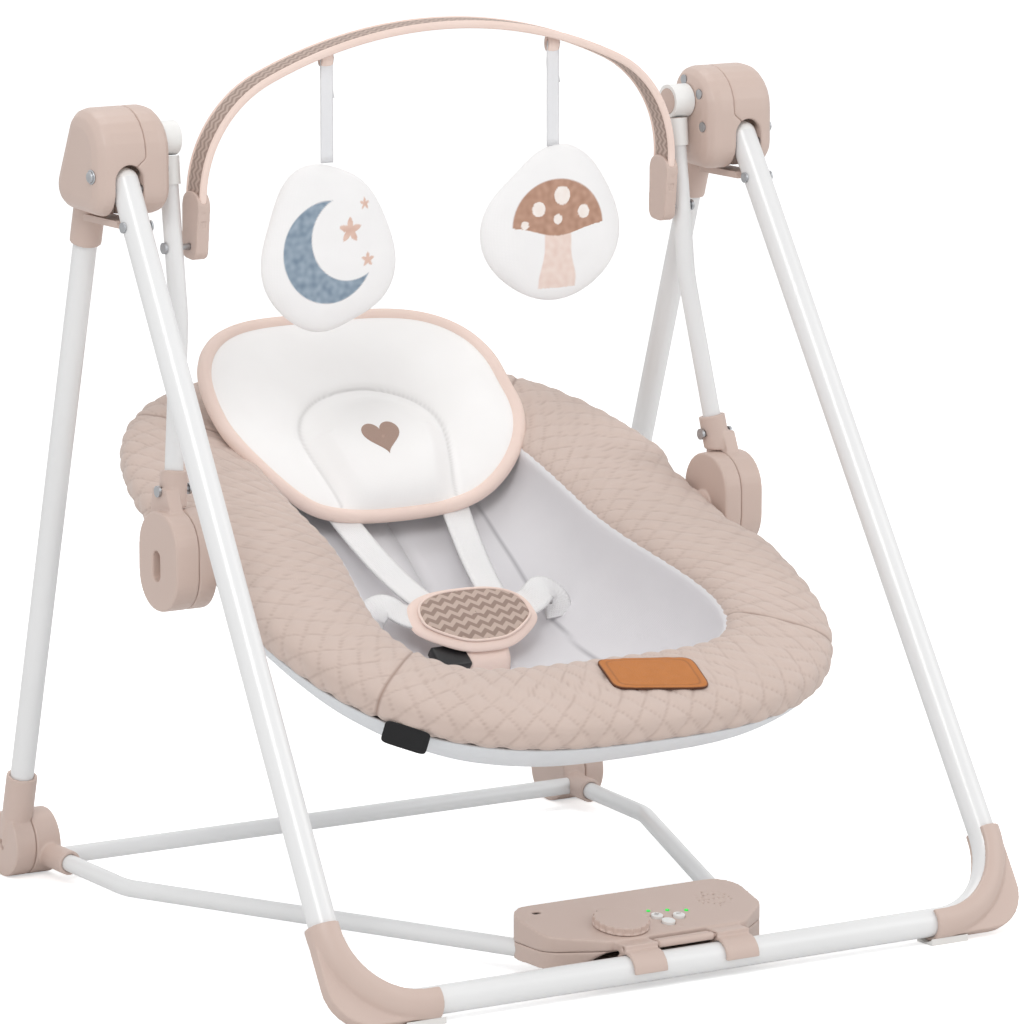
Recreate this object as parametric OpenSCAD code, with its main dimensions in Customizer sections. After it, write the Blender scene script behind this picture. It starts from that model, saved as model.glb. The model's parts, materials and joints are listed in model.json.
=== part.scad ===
/* [Stand] */
// Depth of the stand on the floor, front cover to rear hub
stand_depth = 620; // [580:5:680]
// Distance between the centres of the front tube's two floor corners
corner_span = 600; // [570:5:640]
// Distance between the front leg hinges, tube centre to tube centre
leg_hinge_span = 569; // [566:1:572]
// Height of the front leg hinges
leg_hinge_z = 584; // [560:2:610]
// How far the front leg hinges lie behind the middle of the stand
leg_hinge_y = 54.5; // [50:0.5:58]
// Bend radius of the front tube at the floor corners
corner_bend_r = 64; // [55:1:75]
// Angle that the front legs fold back
fold_angle = 40; // [30:1:42]

/* [Tubes] */
// Diameter of the front legs and the front crossbar
front_tube_d = 22; // [20:0.5:22.5]
// Diameter of the rear legs
rear_tube_d = 19; // [17:0.5:20]
// Diameter of the swing arms
arm_tube_d = 14.5; // [12:0.5:15]
// Diameter of the base tubes and the rear crossbar
base_tube_d = 14; // [12:0.5:15]
// Diameter of the tube ring inside the seat
ring_tube_d = 13; // [11:0.5:14]
// Wall of every steel tube
tube_wall = 1.2; // [0.8:0.1:1.6]

/* [Housings] */
// Inner face of each top housing, from the middle plane
housing_inner_x = 246; // [245:0.5:247]
// Thickness of each top housing, side to side
housing_w = 65; // [63:0.5:70]
// Wall of the housing shells
housing_wall = 2.8; // [2:0.1:3.2]
// Height of the swing pivot above the front leg hinge
pivot_rise = 34; // [32:0.5:36]
// How far the swing pivot lies behind the front leg hinge
pivot_back = 28; // [27:0.5:29]
// Diameter of the swing pivot shafts
pivot_d = 10; // [8:0.5:11]

/* [Hubs] */
// Radius of the rear floor hubs
rear_hub_r = 26.5; // [25:0.5:28]
// Half height of the seat hubs
seat_hub_r = 39; // [37:0.5:41]
// Height of the seat hub axis
seat_hub_z = 293; // [285:1:300]
// How far the seat hub axis lies behind the middle of the stand
seat_hub_y = 39; // [34:0.5:44]
// Outer face of each seat hub, from the middle plane
seat_hub_x = 271; // [269:0.5:272]
// Thickness of a seat hub's outer half
seat_hub_outer_w = 20; // [18:0.5:22]
// Thickness of a seat hub's inner half
seat_hub_inner_w = 15.5; // [14:0.5:16]

/* [Seat] */
// Slope of the seat ring, head end up
seat_slope = 20; // [17:0.2:22]
// Half width of the seat ring
ring_half_w = 222; // [216:1:224]
// Half length of the seat ring
ring_half_l = 265; // [260:1:270]
// Radius of the ring's long sides
ring_side_r = 760; // [720:10:800]
// Radius of the ring's four corners
ring_corner_r = 132; // [126:1:138]
// Radius of the ring's two ends
ring_end_r = 520; // [480:10:560]
// How far the quilted rim reaches outside the ring
rim_out = 24; // [20:0.5:26]
// How far the quilted rim reaches inside the ring
rim_in = 85; // [70:1:90]
// Thickness of the quilted rim at its crown
rim_thick = 32; // [28:1:36]
// Depth of the seat sling below the ring
sling_depth = 94; // [84:1:100]

/* [Toy bar] */
// Height of the toy bar above its pivots
toy_bar_rise = 162; // [140:1:180]
// Width of the toy bar's band
toy_band_w = 24; // [20:1:25]
// Thickness of the toy bar's band
toy_band_t = 4.5; // [3.5:0.5:5]
// Radius of the band where it turns up from the clips
toy_band_side_r = 95; // [85:1:105]
// Distance of each toy from the middle plane
toy_x = 104; // [95:1:115]
// Length of the ribbon that holds each toy
ribbon_len = 86; // [70:1:100]

/* [Control case] */
// Width of the control case
case_w = 200; // [192:1:210]
// Height of the control case's back edge
case_back_z = 51; // [48:0.5:56]
// Height of the control case's underside
case_floor_z = 15; // [13:0.5:17]
// Slope of the control panel towards the front
panel_slope = 10.5; // [8:0.5:12]
// Radius of the mode dial
dial_r = 22; // [19:0.5:23]

/* [Hidden] */
$fn = 64;

// Radial clearance of a pin that turns in its bore
run_fit = 0.05;
// Gap between a tube and the moulding that holds it
tube_fit = 0.1;
// Gap between bodies that move past each other
gap = 0.4;
// Clearance of fabric from whatever it moves past
soft_gap = 0.4;
// Distance that a cutting shape runs past the face it cuts
over = 1;
// Gap between two lengths of one tube, closed by the ferrule inside
seam = 0.02;

plastic = "#cbb5aa";
white_paint = "#f1f1f1";
steel = "#b9bcc0";
quilt = "#d3bdb1";
lining = "#cfcdce";
webbing = "#f4f2f0";

// ---- vectors, tubes and outlines ----

function unit(v) = v / norm(v);
function wrap(a) = a - 360 * round(a / 360);

// Half of the angle between the two legs of a corner
function half_angle(a, b, c) = acos(unit(a - b) * unit(c - b)) / 2;

// An outline with each corner rounded to its own radius
function rounded(pts, radii, steps = 6) = [
    for (i = [0 : len(pts) - 1])
        let (
            b = pts[i],
            u = unit(pts[(i + len(pts) - 1) % len(pts)] - b),
            v = unit(pts[(i + 1) % len(pts)] - b),
            half = acos(u * v) / 2,
            run = radii[i] / tan(half),
            o = b + unit(u + v) * radii[i] / sin(half),
            from = atan2((b + u * run - o).y, (b + u * run - o).x),
            turn = wrap(atan2((b + v * run - o).y, (b + v * run - o).x) - from)
        )
        for (k = [0 : steps])
            o + radii[i] * [cos(from + turn * k / steps), sin(from + turn * k / steps)]
];

module place(o, x, y, z)
    multmatrix([
        [x.x, y.x, z.x, o.x],
        [x.y, y.y, z.y, o.y],
        [x.z, y.z, z.z, o.z],
        [0, 0, 0, 1]
    ]) children();

// Puts a shape that stands on +Z so that it runs from p towards q
module along(p, q)
    translate(p)
        rotate([0, acos(unit(q - p).z), atan2((q - p).y, (q - p).x)])
            children();

module rod(p, q, d)
    along(p, q) cylinder(d = d, h = norm(q - p));

// Sweeps a section from a to c round a bend at b; its X points away from the bend's centre
module bent(a, b, c, r) {
    u = unit(a - b);
    v = unit(c - b);
    half = half_angle(a, b, c);
    centre = b + unit(u + v) * r / sin(half);
    start = b + u * r / tan(half);
    end = b + v * r / tan(half);
    xs = unit(start - centre);
    xe = unit(end - centre);
    place(a, xs, cross(-u, xs), -u) linear_extrude(norm(start - a) - seam) children();
    place(end + v * seam, xe, cross(v, xe), v) linear_extrude(norm(c - end) - seam) children();
    place(centre, xs, -u, cross(xs, -u))
        rotate_extrude(angle = 180 - 2 * half)
            translate([r, 0])
                children();
}

// A tube from a to c with one bend, made in three lengths joined over ferrules
module bent_tube(a, b, c, r, d) {
    run = r / tan(half_angle(a, b, c));
    bent(a, b, c, r) tube_section(d);
    ferrule(b + unit(a - b) * run, a - b, d);
    ferrule(b + unit(c - b) * run, c - b, d);
}

ferrule_len = 5;

module ferrule(at, dir, d)
    along(at - unit(dir) * ferrule_len / 2, at + unit(dir) * ferrule_len / 2)
        difference() {
            cylinder(d = d - 2 * tube_wall + 0.3, h = ferrule_len);
            translate([0, 0, -over])
                cylinder(d = d - 2 * tube_wall - 1.4, h = ferrule_len + 2 * over);
        }

module tube_section(d)
    difference() {
        circle(d = d);
        circle(d = d - 2 * tube_wall);
    }

// Extrudes a profile drawn in Y and Z along X
module extrude_x(x0, x1)
    translate([x0, 0, 0])
        rotate([90, 0, 90])
            linear_extrude(x1 - x0)
                children();

module disc_x(x0, x1, y, z, r)
    translate([x0, y, z])
        rotate([0, 90, 0])
            cylinder(r = r, h = x1 - x0);

module left() mirror([1, 0, 0]) children();

module both() {
    children();
    left() children();
}

// ---- where everything lies, right-hand side ----

cover_wall = 3.4;
pad_under = 1.6;
cover_r = front_tube_d / 2 + tube_fit + cover_wall;
corner = [corner_span / 2, -stand_depth / 2 + cover_r, cover_r + pad_under];
hinge = [leg_hinge_span / 2, leg_hinge_y, leg_hinge_z];
leg_dir = unit(hinge - corner);
cap_centre = hinge + leg_dir * 7;
bar_joint_x = corner.x - 74;
bar_joint = [bar_joint_x, corner.y, corner.z];

pivot_y = leg_hinge_y + pivot_back;
pivot_z = leg_hinge_z + pivot_rise;

rear_hub_y = stand_depth / 2 - rear_hub_r;
rear_hub_z = rear_hub_r;
rear_hub_x = 281;
rear_hub_outer_w = 18;
rear_hub_inner_w = 22;
rear_hub_split = rear_hub_x - rear_hub_outer_w;
rear_foot = [269.8, rear_hub_y, rear_hub_z];
rear_top = [hinge.x - 2.6, leg_hinge_y + 56, leg_hinge_z + 14];
rear_dir = unit(rear_top - rear_foot);
rear_socket_r = rear_tube_d / 2 + 3;

housing_x1 = housing_inner_x + housing_w;
housing_front = leg_hinge_y - 6;
housing_base = leg_hinge_z - 22;
housing_top = pivot_z + 27;
housing_outline = rounded(
    [
        [housing_front, housing_base],
        [housing_front, housing_top],
        [pivot_y + 17, housing_top],
        [rear_top.y + 25, housing_base + 4]
    ],
    [20, 34, 20, 19]
);
inner_soft = 12;
outer_soft = 13;
slot_half = front_tube_d / 2 + 1.2;
slot_wall = 2.4;

arm_x = 234.5;
arm_lean = 7.6;
arm_bend_z = pivot_z - 140;
arm_top = [arm_x, pivot_y - 1.5, pivot_z - 14];
arm_knee = [arm_x, arm_top.y - (arm_top.z - arm_bend_z) * tan(arm_lean), arm_bend_z];
socket_x = seat_hub_x - seat_hub_outer_w + 2.8;
arm_foot = [socket_x - 1.3, seat_hub_y + 5.7, seat_hub_z + seat_hub_r + 7];
barrel_x0 = arm_x - 7;
barrel_x1 = housing_inner_x - 0.8;
barrel_r = 13.5;

seat_split = seat_hub_x - seat_hub_outer_w;
seat_inner_x = seat_split - gap - seat_hub_inner_w;
ring_lift = 1.2;
ring_shift = -28;

toy_pivot_z = pivot_z - 84;
toy_pivot_y = arm_top.y - (arm_top.z - toy_pivot_z) * tan(arm_lean);
toy_spacer = 6.2;
clip_w = 10.8;
clip_x1 = arm_x - arm_tube_d / 2 - toy_spacer;
clip_x0 = clip_x1 - clip_w;
band_half_w = (clip_x0 + clip_x1) / 2;
band_lean = 3.9;
band_spring = 41;

// ---- front frame ----

module front_leg()
    color(white_paint)
        difference() {
            bent_tube(cap_centre, corner, bar_joint, corner_bend_r, front_tube_d);
            disc_x(hinge.x - 20, hinge.x + 20, hinge.y, hinge.z, leg_pin_r + run_fit);
            disc_x(rivet.x - 20, rivet.x + 20, rivet.y, rivet.z, rivet_r + tube_fit);
        }

leg_pin_r = 3;
rivet_r = 2.5;
rivet = hinge - leg_dir * 31;

module front_leg_left() left() front_leg();
module front_leg_right() front_leg();

module front_crossbar()
    color(white_paint)
        extrude_x(-bar_joint_x, bar_joint_x)
            translate([corner.y, corner.z])
                tube_section(front_tube_d);

module leg_end_caps()
    color("white")
        both() {
            intersection() {
                translate(cap_centre) sphere(d = front_tube_d);
                rod(cap_centre, cap_centre + leg_dir * front_tube_d, 2 * front_tube_d);
            }
            rod(cap_centre - leg_dir * 3, cap_centre + leg_dir * 2, front_tube_d - 2 * tube_wall - 2 * tube_fit);
        }

cover_leg_len = 68;
cover_bar_len = 76;
boot_reach = 13.5;
boot_round = 34;
boot_t = 10.5;
boot_start = 2;

// Fills the outside of the corner bend, drawn in the bend's plane
module boot(a, b, c, r) {
    half = half_angle(a, b, c);
    run = r / tan(half);
    u = unit(a - b);
    centre = b + unit(u + unit(c - b)) * r / sin(half);
    start = unit(b + u * run - centre);
    turn = 180 - 2 * half;
    tip = [r + boot_reach, run + boot_reach * tan(turn / 2)];
    round_centre = tip - boot_round * [1, tan(turn / 2)];
    inner_r = r + front_tube_d / 2 + tube_fit + 0.6;
    place(centre, start, -u, cross(start, -u))
        translate([0, 0, -boot_t / 2])
            linear_extrude(boot_t)
                polygon(concat(
                    [[r + boot_reach, 3]],
                    [for (k = [0 : 8])
                        round_centre + boot_round * [cos(turn * k / 8), sin(turn * k / 8)]],
                    [(r + boot_reach) * [cos(turn), sin(turn)] + 3 * [sin(turn), -cos(turn)]],
                    [for (k = [14 : -1 : 0])
                        let (a = boot_start + (turn - 2 * boot_start) * k / 14)
                        inner_r * [cos(a), sin(a)]]
                ));
}

module corner_cover()
    color(plastic) {
        leg_end = corner + leg_dir * cover_leg_len;
        bar_end = corner - [cover_bar_len, 0, 0];
        bent(leg_end, corner, bar_end, corner_bend_r)
            difference() {
                circle(r = cover_r);
                circle(r = front_tube_d / 2 + tube_fit);
                translate([-3 * cover_r - 7, -cover_r]) square([3 * cover_r, 2 * cover_r]);
            }
        boot(leg_end, corner, bar_end, corner_bend_r);
    }

module corner_cover_left() left() corner_cover();
module corner_cover_right() corner_cover();

pad_len = 34;
pad_w = 20;

module corner_pads()
    color("white")
        both()
            difference() {
                translate([corner.x - pad_len - 46, corner.y - pad_w / 2, 0])
                    cube([pad_len, pad_w, corner.z - cover_r * 0.6]);
                disc_x(0, 400, corner.y, corner.z, cover_r + tube_fit);
            }

module leg_rivets()
    color(steel)
        both() {
            disc_x(rivet.x - 12, rivet.x + 12, rivet.y, rivet.z, rivet_r);
            for (s = [-1, 1])
                disc_x(rivet.x + s * 12 - 0.8, rivet.x + s * 12 + 0.8, rivet.y, rivet.z, rivet_r + 1.7);
        }

// ---- top housings ----

module housing_block()
    hull()
        for (side = [0, 1], a = [0, 30, 60, 90]) {
            soft = side == 0 ? inner_soft : outer_soft;
            x = side == 0 ? housing_inner_x + soft * (1 - sin(a))
                : housing_x1 - soft * (1 - sin(a)) - 0.1;
            extrude_x(x, x + 0.1)
                offset(delta = -soft * (1 - cos(a)))
                    polygon(housing_outline);
        }

// The outer shell's share of the housing, with a stepped seam
module outer_share()
    translate([0, housing_front - 40, 0])
        rotate([90, 0, 180])
            mirror([1, 0, 0])
                linear_extrude(220)
                    polygon([
                        [hinge.x, housing_base - 20],
                        [hinge.x, pivot_z - 22],
                        [hinge.x - 14, pivot_z - 10],
                        [hinge.x - 14, housing_top + 20],
                        [housing_x1 + 20, housing_top + 20],
                        [housing_x1 + 20, housing_base - 20]
                    ]);

// Room for the front leg, from open to folded: an arch in the front face, a slot behind it
module leg_slot() {
    room = norm(cap_centre - hinge) + front_tube_d / 2 + 1.5;
    arch_z = cap_centre.z - hinge.z + 1.4;
    translate(hinge + [0, 0.05, 0])
        rotate([90, 0, 0])
            linear_extrude(hinge.y - housing_front + over)
                polygon(concat(
                    [for (a = [0:15:180]) slot_half * [cos(a), sin(a)] + [0, arch_z]],
                    [[-slot_half, -slot_reach], [slot_half, -slot_reach]]
                ));
    extrude_x(hinge.x - slot_half + 0.4, hinge.x + slot_half - 0.4)
        translate([hinge.y, hinge.z])
            polygon(concat(
                [[0, -slot_reach]],
                [for (a = [0:15:90]) room * [sin(a), cos(a)]],
                [[room - 1, -slot_reach]]
            ));
}

slot_reach = 60;

module housing_cavity(x0, x1)
    extrude_x(x0, x1)
        offset(delta = -housing_wall)
            polygon(housing_outline);

module rear_socket()
    rod(rear_top - rear_dir * 66, rear_top + rear_dir * 3, 2 * rear_socket_r);

module rear_leg_bore()
    rod(rear_top - rear_dir * 80, rear_top, rear_tube_d + 2 * tube_fit);

cavity_x0 = housing_inner_x + 7;
boss_x1 = housing_inner_x + 16;
bush_r = pivot_d / 2 + 3;

module housing_outer()
    color(plastic)
        difference() {
            union() {
                intersection() {
                    housing_block();
                    outer_share();
                }
                rear_socket();
            }
            leg_slot();
            rear_leg_bore();
            intersection() {
                housing_cavity(hinge.x + slot_half + slot_wall, housing_x1 - outer_soft + 4);
                translate([0, 0, housing_base + 8])
                    cube([400, rear_top.y - rear_socket_r - 4, housing_top]);
            }
            disc_x(hinge.x - 30, hinge.x + 20, hinge.y, hinge.z, leg_pin_r + run_fit);
            housing_screw_holes();
        }

module housing_outer_left() left() housing_outer();
module housing_outer_right() housing_outer();

module housing_inner()
    color(plastic)
        difference() {
            union() {
                difference() {
                    housing_block();
                    outer_share();
                    housing_cavity(cavity_x0, hinge.x - slot_half - slot_wall);
                }
                disc_x(housing_inner_x, boss_x1, pivot_y, pivot_z, bush_r + 2.5);
                for (p = screw_spots)
                    disc_x(housing_inner_x + 1, hinge.x - 14, p.x, p.y, 4.4);
            }
            leg_slot();
            rod(rear_top - rear_dir * 80, rear_top + rear_dir * 3.2, 2 * rear_socket_r + 2 * tube_fit);
            disc_x(housing_inner_x - over, boss_x1 + over, pivot_y, pivot_z, bush_r);
            disc_x(hinge.x - slot_half - slot_wall - 3, hinge.x + 20, hinge.y, hinge.z, leg_pin_r + run_fit);
            housing_screw_holes();
        }

screw_spots = [
    [pivot_y + 5, pivot_z + 16],
    [housing_front + 17, pivot_z + 6],
    [housing_front + 12, housing_base + 36]
];
screw_r = 2;

module housing_screw_holes()
    for (p = screw_spots) {
        disc_x(housing_inner_x - over, hinge.x, p.x, p.y, screw_r + tube_fit);
        disc_x(housing_inner_x - over, housing_inner_x + 0.4 + screw_head, p.x, p.y, screw_r + 2.1);
    }

module housing_inner_left() left() housing_inner();
module housing_inner_right() housing_inner();

module pivot_bushes()
    color("#e9e4d8")
        both()
            difference() {
                disc_x(housing_inner_x - 0.5, boss_x1, pivot_y, pivot_z, bush_r - run_fit);
                disc_x(housing_inner_x - 2, boss_x1 + over, pivot_y, pivot_z, pivot_d / 2 + run_fit);
            }

coil_x1 = hinge.x - slot_half - slot_wall - gap;
lever_len = 26;
coil_z = pivot_z - lever_len - 12;

module drive_coil()
    color("#b5692e")
        left()
            difference() {
                extrude_x(cavity_x0, coil_x1)
                    polygon(rounded(
                        [
                            [pivot_y - 14, coil_z - 7],
                            [pivot_y - 14, coil_z + 7],
                            [pivot_y + 14, coil_z + 7],
                            [pivot_y + 14, coil_z - 7]
                        ],
                        [3, 3, 3, 3], 3
                    ));
                disc_x(housing_inner_x, coil_x1 + over, pivot_y, coil_z, 3);
            }

screw_head = 2;

module frame_screws()
    color(steel)
        both()
            for (p = screw_spots) {
                disc_x(housing_inner_x + 0.3, housing_inner_x + 0.3 + screw_head, p.x, p.y, screw_r + 2);
                disc_x(housing_inner_x + 1, hinge.x - 14.2, p.x, p.y, screw_r);
            }

// ---- rear legs and hubs ----

module rear_leg()
    color(white_paint)
        difference() {
            rod(rear_foot + rear_dir * (rear_hub_r + 3), rear_top - rear_dir, rear_tube_d);
            rod(rear_foot, rear_top + rear_dir, rear_tube_d - 2 * tube_wall);
        }

module rear_leg_left() left() rear_leg();
module rear_leg_right() rear_leg();

hub_pin_r = 4;

module rear_hub_outer()
    color(plastic)
        difference() {
            union() {
                disc_x(rear_hub_split, rear_hub_x, rear_hub_y, rear_hub_z, rear_hub_r);
                difference() {
                    rod(rear_foot, rear_foot + rear_dir * 62, 2 * rear_socket_r);
                    disc_x(0, rear_hub_split, rear_hub_y, rear_hub_z, rear_hub_r + 1);
                }
            }
            rod(rear_foot + rear_dir * (rear_hub_r + 2.5), rear_top, rear_tube_d + 2 * tube_fit);
            disc_x(rear_hub_split - over, rear_hub_x - 4, rear_hub_y, rear_hub_z, hub_pin_r + run_fit);
            oval_hole(rear_hub_x - 3, rear_hub_x + over, rear_hub_y, rear_hub_z, 2.2, 5);
        }

module oval_hole(x0, x1, y, z, r, reach)
    extrude_x(x0, x1)
        polygon(rounded(
            [
                [y - r, z - reach],
                [y - r, z + reach],
                [y + r, z + reach],
                [y + r, z - reach]
            ],
            [r - 0.05, r - 0.05, r - 0.05, r - 0.05], 8
        ));

module rear_hub_outer_left() left() rear_hub_outer();
module rear_hub_outer_right() rear_hub_outer();

hub_inner_x0 = rear_hub_split - gap - rear_hub_inner_w;
base_start = [hub_inner_x0 + 9, rear_hub_y - rear_hub_r - 4, rear_hub_z - 8];
base_z = 15;
base_knee = [245.5, 140, base_z];
case_back_y = corner.y + 93;
base_end = [96, case_back_y - 18, base_z + 7];
crossbar_y = rear_hub_y - 30;
crossbar_z = 18;
base_socket_r = base_tube_d / 2 + 3;
socket_tip = base_start + unit(base_knee - base_start) * 26;

module rear_hub_inner()
    color(plastic)
        difference() {
            union() {
                disc_x(hub_inner_x0, rear_hub_split - gap, rear_hub_y, rear_hub_z, rear_hub_r);
                rod(base_start + unit(base_start - base_knee) * 14, socket_tip, 2 * base_socket_r);
            }
            rod(base_start, base_knee, base_tube_d + 2 * tube_fit);
            rod([0, crossbar_y, crossbar_z], [crossbar_x, crossbar_y, crossbar_z], base_tube_d + 2 * tube_fit);
            disc_x(hub_inner_x0 + 4, rear_hub_split, rear_hub_y, rear_hub_z, hub_pin_r + run_fit);
            disc_x(rear_hub_split - gap, rear_hub_x, rear_hub_y, rear_hub_z, rear_hub_r + 2);
        }

crossbar_x = hub_inner_x0 + 1;

module rear_hub_inner_left() left() rear_hub_inner();
module rear_hub_inner_right() rear_hub_inner();

module frame_hinge_pins()
    color(steel)
        both() {
            disc_x(hinge.x - slot_half - slot_wall, hinge.x + slot_half + 6, hinge.y, hinge.z, leg_pin_r);
            disc_x(hub_inner_x0 + 5, rear_hub_x - 4.2, rear_hub_y, rear_hub_z, hub_pin_r);
        }

// ---- base frame ----

module rear_crossbar()
    color(white_paint)
        extrude_x(-crossbar_x, crossbar_x)
            translate([crossbar_y, crossbar_z])
                tube_section(base_tube_d);

module base_tube()
    color(white_paint)
        bent_tube(base_start, base_knee, base_end, 50, base_tube_d);

module base_tube_left() left() base_tube();
module base_tube_right() base_tube();

// Cuts everything above the sloping control panel, raised by h
module above_panel(h = 0)
    translate([-200, case_back_y, case_back_z + h])
        rotate([panel_slope, 0, 0])
            translate([0, -300, 0])
                cube([400, 400, 200]);

function panel_z(y) = case_back_z - (case_back_y - y) * tan(panel_slope);

module on_panel(x, y)
    translate([x, y, panel_z(y)])
        rotate([panel_slope, 0, 0])
            children();

case_half = case_w / 2;
case_left = 7;
case_front_y = corner.y + front_tube_d / 2 + 3;
case_outline = rounded(
    [
        [-case_half - case_left, case_back_y],
        [case_half, case_back_y],
        [case_half - 6, case_front_y + 26],
        [62, case_front_y],
        [-62, case_front_y],
        [-case_half - case_left + 2, case_front_y + 22]
    ],
    [20, 20, 16, 16, 16, 20]
);
case_split_z = 28;
case_wall = 2.6;
hook_x0 = 27;
hook_w = 29;
hook_r = front_tube_d / 2 + gap;

leave_slope = 30;

// A hook over the front crossbar, open below and to the back
module hook()
    extrude_x(hook_x0, hook_x0 + hook_w)
        translate([corner.y, corner.z])
            difference() {
                union() {
                    circle(r = hook_r + 3.1);
                    translate([0, hook_r + 0.8]) square([26, 6.3]);
                }
                circle(r = hook_r);
                translate([-40, -81]) square([40, 80]);
                rotate(-leave_slope) translate([0, -3 * hook_r]) square([80, 4 * hook_r]);
                translate([latch_at.x, latch_at.y]) circle(r = latch_pin_r + run_fit);
            }

latch_at = [4, hook_r + 4.2];
latch_pin_r = 1.6;

module case_body(z0, z1)
    translate([0, 0, z0])
        linear_extrude(z1 - z0)
            polygon(case_outline);

dial_pos = [-37, corner.y + 36.8];
dial_h = 6;
speaker_pos = [62, corner.y + 58];

module case_top()
    color(plastic)
        difference() {
            union() {
                difference() {
                    case_body(case_split_z, 80);
                    above_panel();
                }
                both() hook();
            }
            difference() {
                translate([0, 0, case_split_z - over])
                    linear_extrude(60)
                        offset(delta = -case_wall)
                            polygon(case_outline);
                above_panel(-case_wall);
            }
            rod([0, corner.y, corner.z], [-100, corner.y, corner.z], 2 * hook_r);
            rod([0, corner.y, corner.z], [100, corner.y, corner.z], 2 * hook_r);
            on_panel(dial_pos.x, dial_pos.y) translate([0, 0, -20]) cylinder(r = 4.05, h = 40);
            for (b = button_spots)
                on_panel(b.x, b.y) translate([0, 0, -20]) cylinder(r = b.z + 0.3, h = 40);
            for (l = light_spots)
                on_panel(l.x, l.y) translate([0, 0, -20]) cylinder(r = 1.6, h = 40);
            for (x = [-26, 8, 42])
                on_panel(x, corner.y + 22) translate([0, 0, -0.5]) cylinder(r = 1.9, h = 4);
            for (ring = [0 : 3], k = [0 : max(ring * 6 - 1, 0)])
                on_panel(speaker_pos.x + 4.5 * ring * cos(k * 60 / max(ring, 1)),
                    speaker_pos.y + 4.5 * ring * sin(k * 60 / max(ring, 1)))
                    translate([0, 0, -20]) cylinder(r = 1.1, h = 40);
            both() base_tube_room();
            on_panel(socket_at.x, socket_at.y) cube([7, 4.6, 12], center = true);
        }

button_spots = [
    [-0.2, corner.y + 42.4, 4.6],
    [16.8, corner.y + 38, 4.6],
    [2.6, corner.y + 30.8, 5.2]
];
light_spots = [
    [-0.6, corner.y + 53.9],
    [14.7, corner.y + 50.8],
    [28.9, corner.y + 46]
];
socket_at = [-86, corner.y + 78.6];

module base_tube_room()
    rod(base_end, base_knee, base_tube_d + 2 * tube_fit);

module case_bottom()
    color(plastic)
        difference() {
            case_body(case_floor_z, case_split_z);
            translate([0, 0, case_floor_z + case_wall])
                linear_extrude(60)
                    offset(delta = -case_wall)
                        polygon(case_outline);
            front_undercut();
            both() base_tube_room();
            translate([-door_w / 2, door_y0, case_floor_z - over])
                cube([door_w, door_d, case_wall + 2 * over]);
        }

// Slopes the underside so that the folding crossbar can pass
module front_undercut()
    extrude_x(-200, 200)
        polygon([
            [case_front_y - 10, case_split_z],
            [case_front_y + 1, case_split_z],
            [case_front_y + 14, case_floor_z - 1],
            [case_front_y - 10, case_floor_z - 1]
        ]);

door_w = 110;
door_d = 46;
door_y0 = case_front_y + 22;

module battery_door()
    color(plastic)
        translate([-door_w / 2 + 0.3, door_y0 + 0.3, case_floor_z])
            cube([door_w - 0.6, door_d - 0.6, case_wall]);

module circuit_board()
    color("#2f6b47")
        on_panel(-12, corner.y + 50)
            translate([-42, -16, -case_wall - 6])
                difference() {
                    cube([84, 34, 1.6]);
                    translate([17, 2.8, -over]) cylinder(r = 5, h = 5);
                }

module speaker()
    color("#3a3a3c")
        on_panel(speaker_pos.x, speaker_pos.y)
            translate([0, 0, -case_wall - 8]) {
                cylinder(r1 = 9, r2 = 16, h = 7.7);
                translate([0, 0, -3]) cylinder(r = 9, h = 3);
            }

battery_r = 7;
battery_len = 49;

module batteries()
    color("#5d6166")
        for (i = [-1, 1], j = [0, 1])
            translate([i * (battery_len / 2 + 1.5) - battery_len / 2, door_y0 + 9 + j * 17, case_floor_z + case_wall + battery_r + 0.3])
                rotate([0, 90, 0])
                    cylinder(r = battery_r, h = battery_len);

module status_lights()
    color("#36d049")
        for (l = light_spots)
            on_panel(l.x, l.y)
                translate([0, 0, -case_wall - 2])
                    cylinder(r = 1.5, h = case_wall + 2.3);

module power_socket()
    color("#2b2b2d")
        on_panel(socket_at.x, socket_at.y)
            translate([-6, -5, -case_wall - 8.1])
                difference() {
                    cube([12, 10, 8]);
                    translate([6, 5, 3]) cylinder(r = 2, h = 8);
                }

module mode_dial()
    color(plastic)
        on_panel(dial_pos.x, dial_pos.y) {
            difference() {
                translate([0, 0, 0.4]) cylinder(r = dial_r, h = dial_h);
                for (k = [0 : 19])
                    rotate(k * 18) translate([dial_r + 2.4, 0, 1.5]) cylinder(r = 4, h = 10, $fn = 24);
            }
            translate([0, 0, -8]) cylinder(r = 4, h = 9);
        }

module button(i)
    color("white")
        on_panel(button_spots[i].x, button_spots[i].y)
            translate([0, 0, -case_wall - 1.2])
                cylinder(r = button_spots[i].z, h = case_wall + 2.7);

module plus_button() button(0);
module minus_button() button(1);
module music_button() button(2);

latch_half = 24.5;

module latch_bar()
    color(plastic)
        translate([0, corner.y + latch_at.x, corner.z + latch_at.y]) {
            extrude_x(-latch_half, latch_half) {
                circle(r = 3.2);
                translate([0, -2.5]) square([7, 5]);
            }
            disc_x(-hook_x0 - 4, hook_x0 + 4, 0, 0, latch_pin_r);
        }

// ---- fold catches ----

catch_y = rear_top.y - 6;
catch_half = 2.6;
catch_z = housing_base - 3.9;

module fold_catches()
    color(plastic)
        both()
            extrude_x(hinge.x - 10, hinge.x + 10) {
                translate([catch_y, catch_z]) circle(r = catch_half);
                polygon([
                    [catch_y, catch_z + catch_half],
                    [rivet.y + 15.2, catch_z + catch_half],
                    [rivet.y + 12, catch_z - catch_half],
                    [catch_y, catch_z - catch_half]
                ]);
            }

// ---- swing ----

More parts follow.
